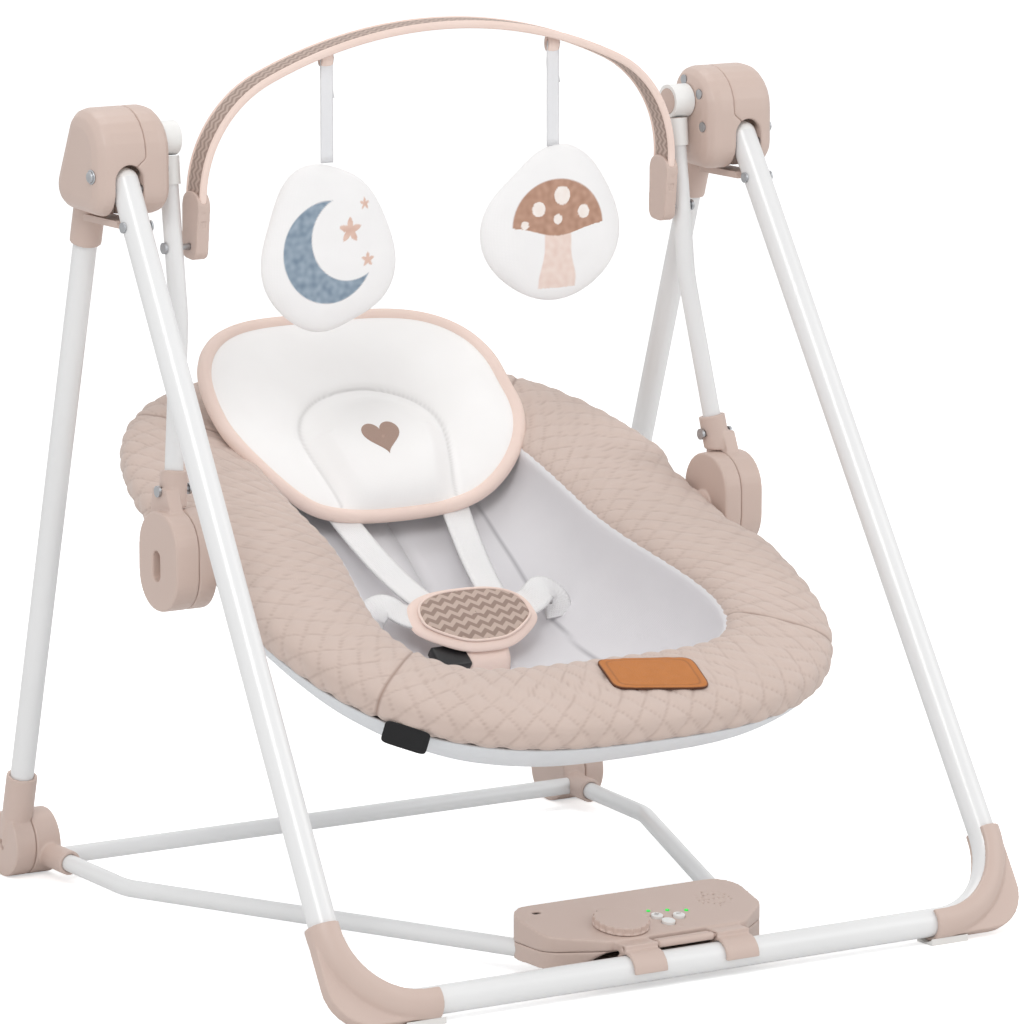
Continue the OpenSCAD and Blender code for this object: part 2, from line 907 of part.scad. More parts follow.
module swing_arm()
    color(white_paint)
        difference() {
            bent_tube(arm_top, arm_knee, arm_foot, 160, arm_tube_d);
            disc_x(arm_x - 20, arm_x + 20, toy_pivot_y, toy_pivot_z, bolt_r + tube_fit);
            disc_x(arm_bolt.x - 20, arm_bolt.x + 20, arm_bolt.y, arm_bolt.z, bolt_r + tube_fit);
        }

bolt_r = 2.5;

module swing_arm_left() left() swing_arm();
module swing_arm_right() swing_arm();

arm_dir = unit(arm_top - arm_knee);
neck_len = 22;
neck_end = arm_top - arm_dir * neck_len;

module arm_knuckle()
    color("white")
        difference() {
            union() {
                disc_x(barrel_x0, barrel_x1, pivot_y, pivot_z, barrel_r);
                along(neck_end, arm_top)
                    cylinder(r1 = arm_tube_d / 2 + 1.7, r2 = arm_tube_d / 2 + 2.2, h = neck_len);
            }
            rod(neck_end - arm_dir * 5, arm_top + arm_dir * 0.5, arm_tube_d + 2 * tube_fit);
            disc_x(barrel_x0 + 3.4, barrel_x1 + over, pivot_y, pivot_z, pivot_d / 2 + tube_fit);
            disc_x(barrel_x0 - over, barrel_x0 + 2, pivot_y, pivot_z, barrel_r - 3);
        }

module arm_knuckle_left() left() arm_knuckle();
module arm_knuckle_right() arm_knuckle();

module knuckle_caps()
    color(plastic)
        both() disc_x(barrel_x0 - 0.6, barrel_x0 + 1.9, pivot_y, pivot_z, barrel_r - 3.2);

module pivot_shafts()
    color(steel)
        both() disc_x(barrel_x0 + 3.6, boss_x1 + 6, pivot_y, pivot_z, pivot_d / 2);

module drive_magnet()
    color("#4a4d52")
        left()
            difference() {
                extrude_x(boss_x1 + 1, boss_x1 + 6)
                    translate([pivot_y, pivot_z]) {
                        circle(r = pivot_d / 2 + 3);
                        translate([-4, -lever_len]) square([8, lever_len]);
                    }
                disc_x(boss_x1, boss_x1 + 8, pivot_y, pivot_z, pivot_d / 2 + run_fit);
            }

hub_hole_r = 5.9;
seat_pin_r = 5;

hub_front = 33;
hub_back = 27.5;
hub_rise = 4;
hub_outline = rounded(
    [
        [seat_hub_y - hub_front, seat_hub_z + hub_rise - seat_hub_r],
        [seat_hub_y - hub_front, seat_hub_z + hub_rise + seat_hub_r],
        [seat_hub_y + hub_back, seat_hub_z + hub_rise + seat_hub_r],
        [seat_hub_y + hub_back, seat_hub_z + hub_rise - seat_hub_r]
    ],
    [29, 29, 29, 29], 8
);
foot_dir = unit(arm_knee - arm_foot);
socket_top = 26;
arm_bolt = arm_foot + foot_dir * (socket_top - 15);

module seat_hub_outer()
    color(plastic)
        difference() {
            union() {
                extrude_x(seat_split, seat_hub_x) polygon(hub_outline);
                along(arm_foot - foot_dir * 24, arm_foot + foot_dir * socket_top)
                    rotate(180) cylinder(d = arm_tube_d + 7, h = 24 + socket_top);
                extrude_x(seat_split + 1, arm_bolt.x + bolt_half - 1.2)
                    polygon([
                        [arm_foot.y - 19, seat_hub_z + 20],
                        [arm_foot.y - 17, arm_foot.z - 5],
                        [arm_foot.y - 9, arm_foot.z + 13],
                        [arm_foot.y + 13, arm_foot.z + 13],
                        [arm_foot.y + 16, arm_foot.z - 5],
                        [arm_foot.y + 16, seat_hub_z + 20]
                    ]);
            }
            translate([seat_split - 40, 0, 0]) cube([40, 200, seat_hub_z + hub_rise + seat_hub_r + 1]);
            rod(arm_foot - foot_dir * 0.5, arm_knee, arm_tube_d + 2 * tube_fit);
            disc_x(arm_bolt.x - 20, arm_bolt.x + 20, arm_bolt.y, arm_bolt.z, bolt_r + tube_fit);
            oval_hole(seat_hub_x - 9, seat_hub_x + over, seat_hub_y, seat_hub_z, hub_hole_r, 12);
            disc_x(seat_split - over, seat_hub_x - 5, seat_hub_y, seat_hub_z, seat_pin_r + run_fit);
        }

module seat_hub_outer_left() left() seat_hub_outer();
module seat_hub_outer_right() seat_hub_outer();

module swing_bolts()
    color(steel)
        both() {
            disc_x(seat_inner_x + 3, seat_hub_x - 10, seat_hub_y, seat_hub_z, seat_pin_r);
            disc_x(clip_x0 + 3, arm_x + arm_tube_d / 2 + 0.4, toy_pivot_y, toy_pivot_z, bolt_r);
            disc_x(arm_x + arm_tube_d / 2 + 0.4, arm_x + arm_tube_d / 2 + 2.4, toy_pivot_y, toy_pivot_z, bolt_r + 2);
            disc_x(arm_bolt.x - bolt_half, arm_bolt.x + bolt_half, arm_bolt.y, arm_bolt.z, bolt_r);
            for (s = [-1, 1])
                disc_x(arm_bolt.x + s * bolt_half - 1, arm_bolt.x + s * bolt_half + 1,
                    arm_bolt.y, arm_bolt.z, bolt_r + 2);
        }

bolt_half = 13.6;

// ---- seat ----

// Puts a shape drawn in the ring's own plane where the seat lies
module in_seat()
    translate([0, seat_hub_y, seat_hub_z + ring_lift])
        rotate([seat_slope, 0, 0])
            translate([0, ring_shift, 0])
                children();

// Centre of the arc at each corner of the ring
function corner_arc() =
    let (
        s = [ring_half_w - ring_side_r, 0],
        e = [0, ring_half_l - ring_end_r],
        d = norm(e - s),
        a = ring_side_r - ring_corner_r,
        b = ring_end_r - ring_corner_r,
        f = (a * a - b * b + d * d) / (2 * d),
        h = sqrt(a * a - f * f),
        u = unit(e - s)
    )
    s + u * f + [-u.y, u.x] * h;

arc_c = corner_arc();
side_turn = atan2(arc_c.y, arc_c.x - (ring_half_w - ring_side_r));
end_turn = atan2(arc_c.y - (ring_half_l - ring_end_r), arc_c.x);

seam_turn = 0.005;

module arc_sweep(centre, r, from, to)
    translate([centre.x, centre.y, 0])
        rotate(from + seam_turn)
            rotate_extrude(angle = to - from - 2 * seam_turn, $fn = 360)
                translate([r, 0])
                    children();

module ring_ferrules()
    for (sx = [-1, 1], sy = [-1, 1], a = [side_turn, end_turn]) {
        at = [sx * (arc_c.x + ring_corner_r * cos(a)), sy * (arc_c.y + ring_corner_r * sin(a)), 0];
        ferrule(at, [-sx * sin(a), sy * cos(a), 0], ring_tube_d);
    }

// Sweeps a section round the whole ring; its X points outwards
module ring_sweep() {
    for (s = [-1, 1]) {
        arc_sweep([s * (ring_half_w - ring_side_r), 0], ring_side_r,
            90 - s * 90 - side_turn, 90 - s * 90 + side_turn) children();
        arc_sweep([0, s * (ring_half_l - ring_end_r)], ring_end_r,
            s * 90 - (90 - end_turn), s * 90 + (90 - end_turn)) children();
    }
    arc_sweep(arc_c, ring_corner_r, side_turn, end_turn) children();
    arc_sweep([-arc_c.x, arc_c.y], ring_corner_r, 180 - end_turn, 180 - side_turn) children();
    arc_sweep(-arc_c, ring_corner_r, 180 + side_turn, 180 + end_turn) children();
    arc_sweep([arc_c.x, -arc_c.y], ring_corner_r, 360 - end_turn, 360 - side_turn) children();
}

// Outline of the ring moved outwards by d
function ring_quarter(d, steps) = concat(
    [for (k = [0 : steps])
        let (a = side_turn * k / steps)
        [ring_half_w - ring_side_r, 0] + (ring_side_r + d) * [cos(a), sin(a)]],
    [for (k = [1 : steps])
        let (a = side_turn + (end_turn - side_turn) * k / steps)
        arc_c + (ring_corner_r + d) * [cos(a), sin(a)]],
    [for (k = [1 : steps])
        let (a = end_turn + (90 - end_turn) * k / steps)
        [0, ring_half_l - ring_end_r] + (ring_end_r + d) * [cos(a), sin(a)]]
);
function reverse(v) = [for (i = [len(v) - 1 : -1 : 0]) v[i]];
function ring_outline(d, steps = 6) =
    let (
        q = ring_quarter(d, steps),
        top = concat(q, [for (p = reverse(q)) [-p.x, p.y]])
    )
    concat(top, [for (p = reverse(top)) [p.x, -p.y]]);

module seat_ring()
    color(steel)
        in_seat() {
            ring_sweep() tube_section(ring_tube_d);
            ring_ferrules();
        }

// A band that follows the ring, from d0 inside to d1 outside it
module ring_band(d0, d1, h)
    translate([0, 0, -h / 2])
        linear_extrude(h)
            difference() {
                polygon(ring_outline(d1));
                polygon(ring_outline(d0));
            }

channel = ring_tube_d / 2 + soft_gap;

module seat_rim()
    color(quilt)
        difference() {
            in_seat()
                difference() {
                    union() {
                        ring_band(-rim_in, rim_out, rim_thick / 2);
                        ring_band(5 - rim_in, rim_out - 5, rim_thick - 6);
                        ring_band(14 - rim_in, rim_out - 14, rim_thick);
                    }
                    ring_band(-channel - 0.6, channel + 0.6, 2 * channel);
                }
            both() {
                disc_x(seat_inner_x - soft_gap, 400, seat_hub_y - 2, seat_hub_z + hub_rise, seat_hub_r + 9);
                disc_x(ring_half_w - 2, 400, seat_hub_y, seat_hub_z, stub_r + soft_gap);
            }
        }

stub_r = 12;

module seat_hub_inner()
    color(plastic)
        difference() {
            union() {
                extrude_x(seat_inner_x, seat_split - gap) polygon(hub_outline);
                disc_x(ring_half_w, seat_inner_x + 1, seat_hub_y, seat_hub_z, stub_r);
            }
            in_seat()
                translate([ring_half_w, -ring_shift, 0])
                    rotate([90, 0, 0])
                        cylinder(r = ring_tube_d / 2 + 0.3, h = 60, center = true);
            disc_x(seat_inner_x + 2.5, seat_split, seat_hub_y, seat_hub_z, seat_pin_r + run_fit);
        }

module seat_hub_inner_left() left() seat_hub_inner();
module seat_hub_inner_right() seat_hub_inner();

sling_wall = 4;

module bowl(shrink, lift)
    hull() {
        translate([0, 0, lift])
            linear_extrude(2)
                polygon(ring_outline(-rim_in - shrink, 4));
        translate([0, -58, -sling_depth + shrink])
            cylinder(r = 70 - shrink / 2, h = 4, $fn = 32);
        translate([0, 80, -sling_depth * 0.6 + shrink])
            cylinder(r = 80 - shrink / 2, h = 4, $fn = 32);
    }

module seat_sling()
    color(lining)
        in_seat()
            difference() {
                bowl(soft_gap, -2);
                bowl(soft_gap + sling_wall, 3);
            }

insert_tilt = 46;
insert_w = 262;
insert_l = 198;
insert_t = 30;
insert_mid = [0, seat_hub_y + 157, seat_hub_z + 77];

// The insert lies over the rim and dips into the basin
module head_insert()
    color("#f7f5f3")
        difference() {
            translate(insert_mid)
                rotate([insert_tilt, 0, 0])
                    translate([0, 0, -insert_t / 2])
                        linear_extrude(insert_t)
                            polygon(rounded(
                                [
                                    [-insert_w * 0.27, -insert_l / 2],
                                    [insert_w * 0.27, -insert_l / 2],
                                    [insert_w * 0.54, insert_l * 0.12],
                                    [insert_w * 0.36, insert_l / 2],
                                    [-insert_w * 0.36, insert_l / 2],
                                    [-insert_w * 0.54, insert_l * 0.12]
                                ],
                                [50, 50, 60, 50, 50, 60], 8
                            ));
            in_seat()
                difference() {
                    translate([-300, -400, -300])
                        cube([600, 800, 300 + rim_thick / 2 + soft_gap]);
                    bowl(2 * soft_gap + sling_wall, rim_thick / 2 - 1);
                }
        }

strap_w = 24;
strap_t = 2;
strap_drop = 31.4;
belly_pad = [110, 62, 14];
belly_mid = [0, seat_hub_y - 26, seat_hub_z - 66];
belly_tilt = 38;
belly_up = [0, cos(belly_tilt), sin(belly_tilt)];
insert_foot = insert_mid - [0, cos(insert_tilt), sin(insert_tilt)] * (insert_l / 2 + 4);

module strap(p, q)
    along(p, q)
        translate([-strap_t / 2, -strap_w / 2, 0])
            cube([strap_t, strap_w, norm(q - p)]);

module harness()
    color(webbing) {
        translate(belly_mid)
            rotate([belly_tilt, 0, 0])
                translate([0, 0, -belly_pad.z / 2])
                    linear_extrude(belly_pad.z)
                        polygon(rounded(
                            [
                                [-belly_pad.x * 0.3, -belly_pad.y / 2],
                                [belly_pad.x * 0.3, -belly_pad.y / 2],
                                [belly_pad.x / 2, belly_pad.y / 2],
                                [-belly_pad.x / 2, belly_pad.y / 2]
                            ],
                            [16, 16, 14, 14]
                        ));
        strap(belly_mid - belly_up * 20, belly_mid - belly_up * 20 - [0, 4, strap_drop]);
        for (s = [-1, 1])
            strap(belly_mid + [s * 30, 0, 0] + belly_up * 20, insert_foot + [s * 45, 0, 0]);
    }

// ---- toy bar ----

band_top = toy_bar_rise - band_spring;
band_top_r = (pow(band_half_w - toy_band_side_r, 2) + band_top * band_top
    - toy_band_side_r * toy_band_side_r) / (2 * (band_top - toy_band_side_r));
band_turn = atan2(band_top - band_top_r, toy_band_side_r - band_half_w);

// Puts a shape drawn about the toy bar's pivots where the bar stands
module in_toy_bar()
    translate([0, toy_pivot_y, toy_pivot_z])
        rotate([band_lean, 0, 0])
            children();

module band_arc(centre, r, from, to)
    translate([centre.x, 0, centre.y])
        rotate([90, 0, 0])
            rotate(from)
                rotate_extrude(angle = to - from)
                    translate([r, 0])
                        square([toy_band_t, toy_band_w], center = true);

side_arc = atan2(band_top_r - band_top, band_half_w - toy_band_side_r);

module toy_bar_band()
    color("#b29c90")
        in_toy_bar()
            both() {
                band_arc([band_half_w - toy_band_side_r, band_spring], toy_band_side_r, 0, side_arc);
                band_arc([0, band_spring + band_top - band_top_r], band_top_r, side_arc, 90);
                translate([band_half_w - toy_band_t / 2, -toy_band_w / 2, band_spring - 26])
                    cube([toy_band_t, toy_band_w, 26]);
            }

module toy_bar_clips()
    color(plastic)
        in_toy_bar()
            both()
                difference() {
                    extrude_x(clip_x0, clip_x1)
                        polygon(rounded(
                            [[-11.5, -10], [-13.5, 43], [13.5, 43], [11.5, -10]],
                            [8, 11, 11, 8]
                        ));
                    translate([band_half_w - toy_band_t / 2 - 0.2, -toy_band_w / 2 - 0.2, band_spring - 26.2])
                        cube([toy_band_t + 0.4, toy_band_w + 0.4, 40]);
                    disc_x(clip_x0 + 2.6, clip_x1 + over, 0, 0, bolt_r + run_fit);
                }

function band_z(x) = band_spring + band_top - band_top_r + sqrt(band_top_r * band_top_r - x * x);

toy_hang_y = toy_pivot_y - band_z(toy_x) * sin(band_lean);
toy_hang_z = toy_pivot_z + band_z(toy_x) * cos(band_lean) - toy_band_t / 2 - 2;
toy_t = 18;
loop_r = 4;

module toy(s, outline) {
    translate([s * toy_x - 5.5, toy_hang_y - 0.8, toy_hang_z - ribbon_len])
        cube([11, 1.6, ribbon_len - 2 * loop_r]);
    difference() {
        disc_x(s * toy_x - 5.5, s * toy_x + 5.5, toy_hang_y, toy_hang_z - loop_r, loop_r);
        disc_x(s * toy_x - 9, s * toy_x + 9, toy_hang_y, toy_hang_z - loop_r, loop_r - 1.4);
    }
    translate([s * toy_x, toy_hang_y + toy_t / 2, toy_hang_z - ribbon_len])
        rotate([90, 0, 0])
            linear_extrude(toy_t)
                polygon(outline);
}

module toy_left()
    color("#8fa0b2")
        toy(-1, rounded(
            [[-60, -44], [-52, 0.1], [52, 0.1], [60, -44], [26, -136], [-26, -136]],
            [16, 18, 18, 16, 18, 18]
        ));

module toy_right()
    color("#c9a792")
        toy(1, rounded(
            [[-64, -66], [-46, 0.1], [46, 0.1], [64, -66], [30, -128], [-30, -128]],
            [18, 22, 22, 18, 18, 18]
        ));

rear_leg_left();
rear_leg_right();
housing_outer_left();
housing_outer_right();
housing_inner_left();
housing_inner_right();
rear_hub_outer_left();
rear_hub_outer_right();
frame_hinge_pins();
pivot_bushes();
drive_coil();
frame_screws();
front_leg_left();
front_leg_right();
front_crossbar();
leg_end_caps();
corner_cover_left();
corner_cover_right();
corner_pads();
leg_rivets();
fold_catches();
rear_crossbar();
base_tube_left();
base_tube_right();
rear_hub_inner_left();
rear_hub_inner_right();
case_top();
case_bottom();
battery_door();
circuit_board();
speaker();
batteries();
status_lights();
power_socket();
mode_dial();
plus_button();
minus_button();
music_button();
latch_bar();
swing_arm_left();
swing_arm_right();
arm_knuckle_left();
arm_knuckle_right();
knuckle_caps();
pivot_shafts();
drive_magnet();
seat_hub_outer_left();
seat_hub_outer_right();
swing_bolts();
seat_ring();
seat_hub_inner_left();
seat_hub_inner_right();
seat_rim();
seat_sling();
head_insert();
harness();
toy_bar_band();
toy_bar_clips();
toy_left();
toy_right();
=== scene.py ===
import json
import math

import bpy
import bmesh
from mathutils import Matrix, Vector, noise
from mathutils.bvhtree import BVHTree

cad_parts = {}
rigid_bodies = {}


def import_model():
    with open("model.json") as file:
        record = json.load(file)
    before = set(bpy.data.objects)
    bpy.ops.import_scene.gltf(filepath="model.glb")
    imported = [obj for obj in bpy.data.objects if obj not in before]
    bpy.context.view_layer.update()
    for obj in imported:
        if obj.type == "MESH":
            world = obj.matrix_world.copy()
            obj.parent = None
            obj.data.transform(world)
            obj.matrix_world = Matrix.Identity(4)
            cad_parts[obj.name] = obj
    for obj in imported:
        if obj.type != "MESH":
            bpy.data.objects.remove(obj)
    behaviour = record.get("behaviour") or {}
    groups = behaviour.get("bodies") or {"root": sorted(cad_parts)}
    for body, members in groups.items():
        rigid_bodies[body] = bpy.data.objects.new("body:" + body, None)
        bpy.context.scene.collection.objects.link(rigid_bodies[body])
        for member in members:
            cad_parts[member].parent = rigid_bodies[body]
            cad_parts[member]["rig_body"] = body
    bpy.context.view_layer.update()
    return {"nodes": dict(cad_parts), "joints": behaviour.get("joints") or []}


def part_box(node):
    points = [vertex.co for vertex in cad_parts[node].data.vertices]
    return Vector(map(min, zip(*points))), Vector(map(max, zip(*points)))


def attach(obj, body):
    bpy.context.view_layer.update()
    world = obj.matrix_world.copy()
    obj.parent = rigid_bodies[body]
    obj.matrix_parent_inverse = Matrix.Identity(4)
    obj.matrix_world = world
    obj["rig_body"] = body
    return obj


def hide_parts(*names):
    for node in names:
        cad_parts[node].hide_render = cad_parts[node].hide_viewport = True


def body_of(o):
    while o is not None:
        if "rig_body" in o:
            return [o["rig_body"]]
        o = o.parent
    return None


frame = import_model()
bpy.ops.object.select_all(action="DESELECT")
MM = 0.001
CLOTH_THICK = 0.0018
SIDES = ((-1, "left"), (1, "right"))


# ---- colours and materials ----

def linear(code):
    """An sRGB hex colour as linear red, green, blue and alpha."""
    parts = [int(code[i:i + 2], 16) / 255 for i in (1, 3, 5)]
    return (*[c / 12.92 if c <= 0.04045 else ((c + 0.055) / 1.055) ** 2.4 for c in parts], 1)


def add(tree, kind, settings=None, links=None):
    """A node with its settings and its incoming links."""
    node = tree.nodes.new(kind)
    for key, value in (settings or {}).items():
        if isinstance(key, int) or not hasattr(node, key):
            node.inputs[key].default_value = value
        else:
            setattr(node, key, value)
    for key, socket in (links or {}).items():
        tree.links.new(socket, node.inputs[key])
    return node


def finish_of(name, colour, roughness, **shader):
    """A new material with its main shader set."""
    material = bpy.data.materials.new(name)
    material.use_nodes = True
    tree = material.node_tree
    main = tree.nodes["Principled BSDF"]
    main.inputs["Base Color"].default_value = linear(colour)
    main.inputs["Roughness"].default_value = roughness
    for key, value in shader.items():
        main.inputs[key.replace("_", " ")].default_value = value
    return material, tree, main


def relief(tree, main, height, depth):
    """Height in metres becomes a bump on the surface."""
    bump = add(tree, "ShaderNodeBump", {"Distance": depth, "Strength": 1.0}, {"Height": height})
    tree.links.new(bump.outputs["Normal"], main.inputs["Normal"])


def two_tone(tree, main, factor, low, high):
    """The base colour runs from low to high with the factor."""
    mix = add(tree, "ShaderNodeMix", {"data_type": "RGBA"}, {0: factor})
    mix.inputs[6].default_value = linear(low)
    mix.inputs[7].default_value = linear(high)
    tree.links.new(mix.outputs[2], main.inputs["Base Color"])
    return mix


MOULD_GRAIN = 0.9
MOULD_DEPTH = 0.00003


def moulded(name, colour, darker, roughness):
    """Injection-moulded plastic: a fine spark-eroded grain and an almost even colour."""
    material, tree, main = finish_of(name, colour, roughness, IOR=1.5)
    place = add(tree, "ShaderNodeTexCoord")
    fine = add(tree, "ShaderNodeTexNoise", {"Scale": 1000 / MOULD_GRAIN, "Detail": 2.0},
               {"Vector": place.outputs["Object"]})
    broad = add(tree, "ShaderNodeTexNoise", {"Scale": 14.0, "Detail": 2.0},
                {"Vector": place.outputs["Object"]})
    two_tone(tree, main, broad.outputs["Fac"], darker, colour)
    relief(tree, main, fine.outputs["Fac"], MOULD_DEPTH)
    return material


def enamelled(name, colour):
    """White enamel on steel tube: glossy, with a faint orange-peel ripple."""
    material, tree, main = finish_of(name, colour, 0.28, IOR=1.5, Coat_Weight=0.25)
    place = add(tree, "ShaderNodeTexCoord")
    peel = add(tree, "ShaderNodeTexNoise", {"Scale": 260.0, "Detail": 1.0},
               {"Vector": place.outputs["Object"]})
    broad = add(tree, "ShaderNodeTexNoise", {"Scale": 6.0}, {"Vector": place.outputs["Object"]})
    two_tone(tree, main, broad.outputs["Fac"], "#e4e4e4", colour)
    relief(tree, main, peel.outputs["Fac"], 0.00002)
    return material


def plated(name, colour, roughness):
    """Zinc-plated steel with fine turning marks."""
    material, tree, main = finish_of(name, colour, roughness, Metallic=1.0)
    place = add(tree, "ShaderNodeTexCoord")
    marks = add(tree, "ShaderNodeTexNoise", {"Scale": 900.0, "Detail": 3.0},
                {"Vector": place.outputs["Object"]})
    level = add(tree, "ShaderNodeMapRange", {"To Min": roughness - 0.06, "To Max": roughness + 0.1},
                {"Value": marks.outputs["Fac"]})
    tree.links.new(level.outputs["Result"], main.inputs["Roughness"])
    relief(tree, main, marks.outputs["Fac"], 0.00001)
    return material


def woven(name, colour, darker, thread=0.9, depth=0.00012, sheen=0.15, broad=22.0, roughness=0.85):
    """Cloth in plain weave; UV runs in metres, and the thread is drawn coarse enough to show."""
    material, tree, main = finish_of(name, colour, roughness, IOR=1.45, Sheen_Weight=sheen)
    place = add(tree, "ShaderNodeTexCoord")
    waves = []
    for turn in (0, math.pi / 2):
        spun = add(tree, "ShaderNodeMapping", {"Rotation": (0, 0, turn)},
                   {"Vector": place.outputs["UV"]})
        waves.append(add(tree, "ShaderNodeTexWave",
                         {"Scale": 1000 / thread / 6.2832 * 2, "Distortion": 0.4, "Detail": 0.0},
                         {"Vector": spun.outputs["Vector"]}))
    weave = add(tree, "ShaderNodeMath", {"operation": "MULTIPLY"},
                {0: waves[0].outputs["Fac"], 1: waves[1].outputs["Fac"]})
    soft = add(tree, "ShaderNodeTexNoise", {"Scale": broad, "Detail": 3.0},
               {"Vector": place.outputs["Object"]})
    two_tone(tree, main, soft.outputs["Fac"], darker, colour)
    relief(tree, main, weave.outputs["Value"], depth)
    return material, tree, main, place


def darkened_by(material, attribute, colour, strength):
    """Mixes a darker colour in where the mesh marks it: painted shade in stitch grooves, seams and
    folds, and a leather's burnt edge.
    """
    tree = material.node_tree
    main = tree.nodes["Principled BSDF"]
    source = main.inputs["Base Color"].links[0].from_socket
    mark = add(tree, "ShaderNodeAttribute", {"attribute_name": attribute})
    share = add(tree, "ShaderNodeMath", {"operation": "MULTIPLY", 1: strength},
                {0: mark.outputs["Fac"]})
    mix = add(tree, "ShaderNodeMix", {"data_type": "RGBA"}, {0: share.outputs["Value"], 6: source})
    mix.inputs[7].default_value = linear(colour)
    tree.links.new(mix.outputs[2], main.inputs["Base Color"])


# Moulded plastics: shells with a fine satin grain that takes soft highlights
shell_abs = moulded("abs_taupe_moulded", "#d1bcb2", "#cab4a9", 0.42)
# Knuckles, leg ends and keys: a clean, slightly glossier white
white_abs = moulded("abs_white_moulded", "#f3f2f0", "#ededeb", 0.35)
# Socket, loudspeaker and buckle: deep black with a dull shine
black_abs = moulded("abs_black_moulded", "#1c1c1e", "#161618", 0.38)
# Marks on the keys: a pale grey just darker than the key
mark_ink = moulded("abs_grey_insert", "#cbc7c4", "#c2bebb", 0.5)
# Floor pads: matt white that doesn't shine against the floor
white_rubber = moulded("rubber_white_moulded", "#eeece9", "#e6e4e1", 0.7)
# Pivot bushes: the waxy off-white of unpainted nylon
bush_nylon = moulded("nylon_natural_turned", "#e6e1d6", "#dcd7cb", 0.5)
# The control board: green solder mask
board_mask = moulded("circuit_board_solder_mask", "#2f6b47", "#285d3d", 0.4)
# Frame tubes: glossy white with long clear highlights down each tube
tube_enamel = enamelled("enamel_white_on_steel", "#eeeeee")
# Screws, rivets and shafts: bright grey metal
zinc = plated("zinc_plated_steel", "#b5b7ba", 0.35)
# Magnet and cells: darker, duller metal
dark_steel = plated("blackened_steel", "#55585d", 0.45)
# The drive coil: reddish varnished wire
copper_wire = plated("enamelled_copper_wire", "#b0682f", 0.4)

# Rim cover: smooth beige cloth whose soft sheen shows every quilted diamond
quilted = woven("polyester_satin_quilted", "#d5c1b7", "#cebaaf", thread=0.8, sheen=0.3)[0]
# Basin: cool grey cotton, matt, with a fine even weave
lining_cloth = woven("cotton_lining_grey_woven", "#e6e4e6", "#dedcdf", thread=0.9, depth=0.0001)[0]
# Below the basin: plain pale cloth
under_cloth = woven("polyester_underside_grey_woven", "#eceef0", "#e3e6ea", thread=1.0)[0]
# Head insert: white short pile with a bright, soft edge
white_plush = woven("velboa_white_brushed", "#fbfaf9", "#f5f3f2", thread=1.2, depth=0.00005,
                    sheen=0.6, roughness=0.95)[0]
# Bindings: matt peach tape
peach_binding = woven("cotton_binding_peach_woven", "#f7e2d8", "#f1d8cc", thread=0.7)[0]
# Harness straps: white with ribs that show across the strap
white_webbing = woven("polypropylene_webbing_white", "#f4f3f3", "#ebeaea", thread=1.6,
                      depth=0.0003)[0]
# Toy ribbons: white with a silky shine
white_satin = woven("polyester_satin_ribbon_white", "#f1f1f3", "#e6e7ea", thread=0.7, sheen=0.4,
                    roughness=0.5)[0]
# Side tag: dense black label cloth
black_weave = woven("polyester_label_black_woven", "#1a1a1c", "#121214", thread=0.8)[0]
# Head cushion's motif: raised taupe stitching
taupe_thread = woven("rayon_thread_taupe_stitched", "#bfa294", "#b09385", thread=0.7,
                     depth=0.0003)[0]
# The band inside its sleeve: plain taupe cloth
band_cloth = woven("polyester_band_taupe_woven", "#b7a297", "#a8938a", thread=1.0, broad=60.0)[0]


def lit_lens():
    """A green indicator lens with its lamp lit."""
    material, tree, main = finish_of("lens_green_lit", "#24ab3b", 0.2, IOR=1.5)
    main.inputs["Emission Color"].default_value = linear("#2fc447")
    main.inputs["Emission Strength"].default_value = 0.9
    place = add(tree, "ShaderNodeTexCoord")
    glow = add(tree, "ShaderNodeTexNoise", {"Scale": 500.0}, {"Vector": place.outputs["Object"]})
    two_tone(tree, main, glow.outputs["Fac"], "#1f9a33", "#35c64c")
    return material


def tanned(name, colour, darker, edge):
    """Vegetable-tanned leather: a pebbled grain, and a burnt edge where the mesh marks it."""
    material, tree, main = finish_of(name, colour, 0.55, IOR=1.5)
    place = add(tree, "ShaderNodeTexCoord")
    grain = add(tree, "ShaderNodeTexVoronoi", {"Scale": 900.0}, {"Vector": place.outputs["Object"]})
    cloud = add(tree, "ShaderNodeTexNoise", {"Scale": 90.0, "Detail": 4.0},
                {"Vector": place.outputs["Object"]})
    two_tone(tree, main, cloud.outputs["Fac"], darker, colour)
    relief(tree, main, grain.outputs["Distance"], 0.00015)
    darkened_by(material, "edge", edge, 1.0)
    return material


def zigzag(name, light, dark, stripe, step, rise):
    """Printed chevrons: stripes that fold up and down every step; sizes in metres on the UV map."""
    material, tree, main, place = woven(name, light, dark, thread=0.9)
    parts = add(tree, "ShaderNodeSeparateXYZ", {}, {"Vector": place.outputs["UV"]})
    fold = add(tree, "ShaderNodeMath", {"operation": "PINGPONG", 1: step},
               {0: parts.outputs["X"]})
    lift = add(tree, "ShaderNodeMath", {"operation": "MULTIPLY", 1: rise / step},
               {0: fold.outputs["Value"]})
    sum_up = add(tree, "ShaderNodeMath", {"operation": "ADD"},
                 {0: parts.outputs["Y"], 1: lift.outputs["Value"]})
    band = add(tree, "ShaderNodeMath", {"operation": "PINGPONG", 1: stripe},
               {0: sum_up.outputs["Value"]})
    edge = add(tree, "ShaderNodeMapRange", {"From Min": stripe * 0.42, "From Max": stripe * 0.58},
               {"Value": band.outputs["Value"]})
    two_tone(tree, main, edge.outputs["Result"], dark, light)
    return material


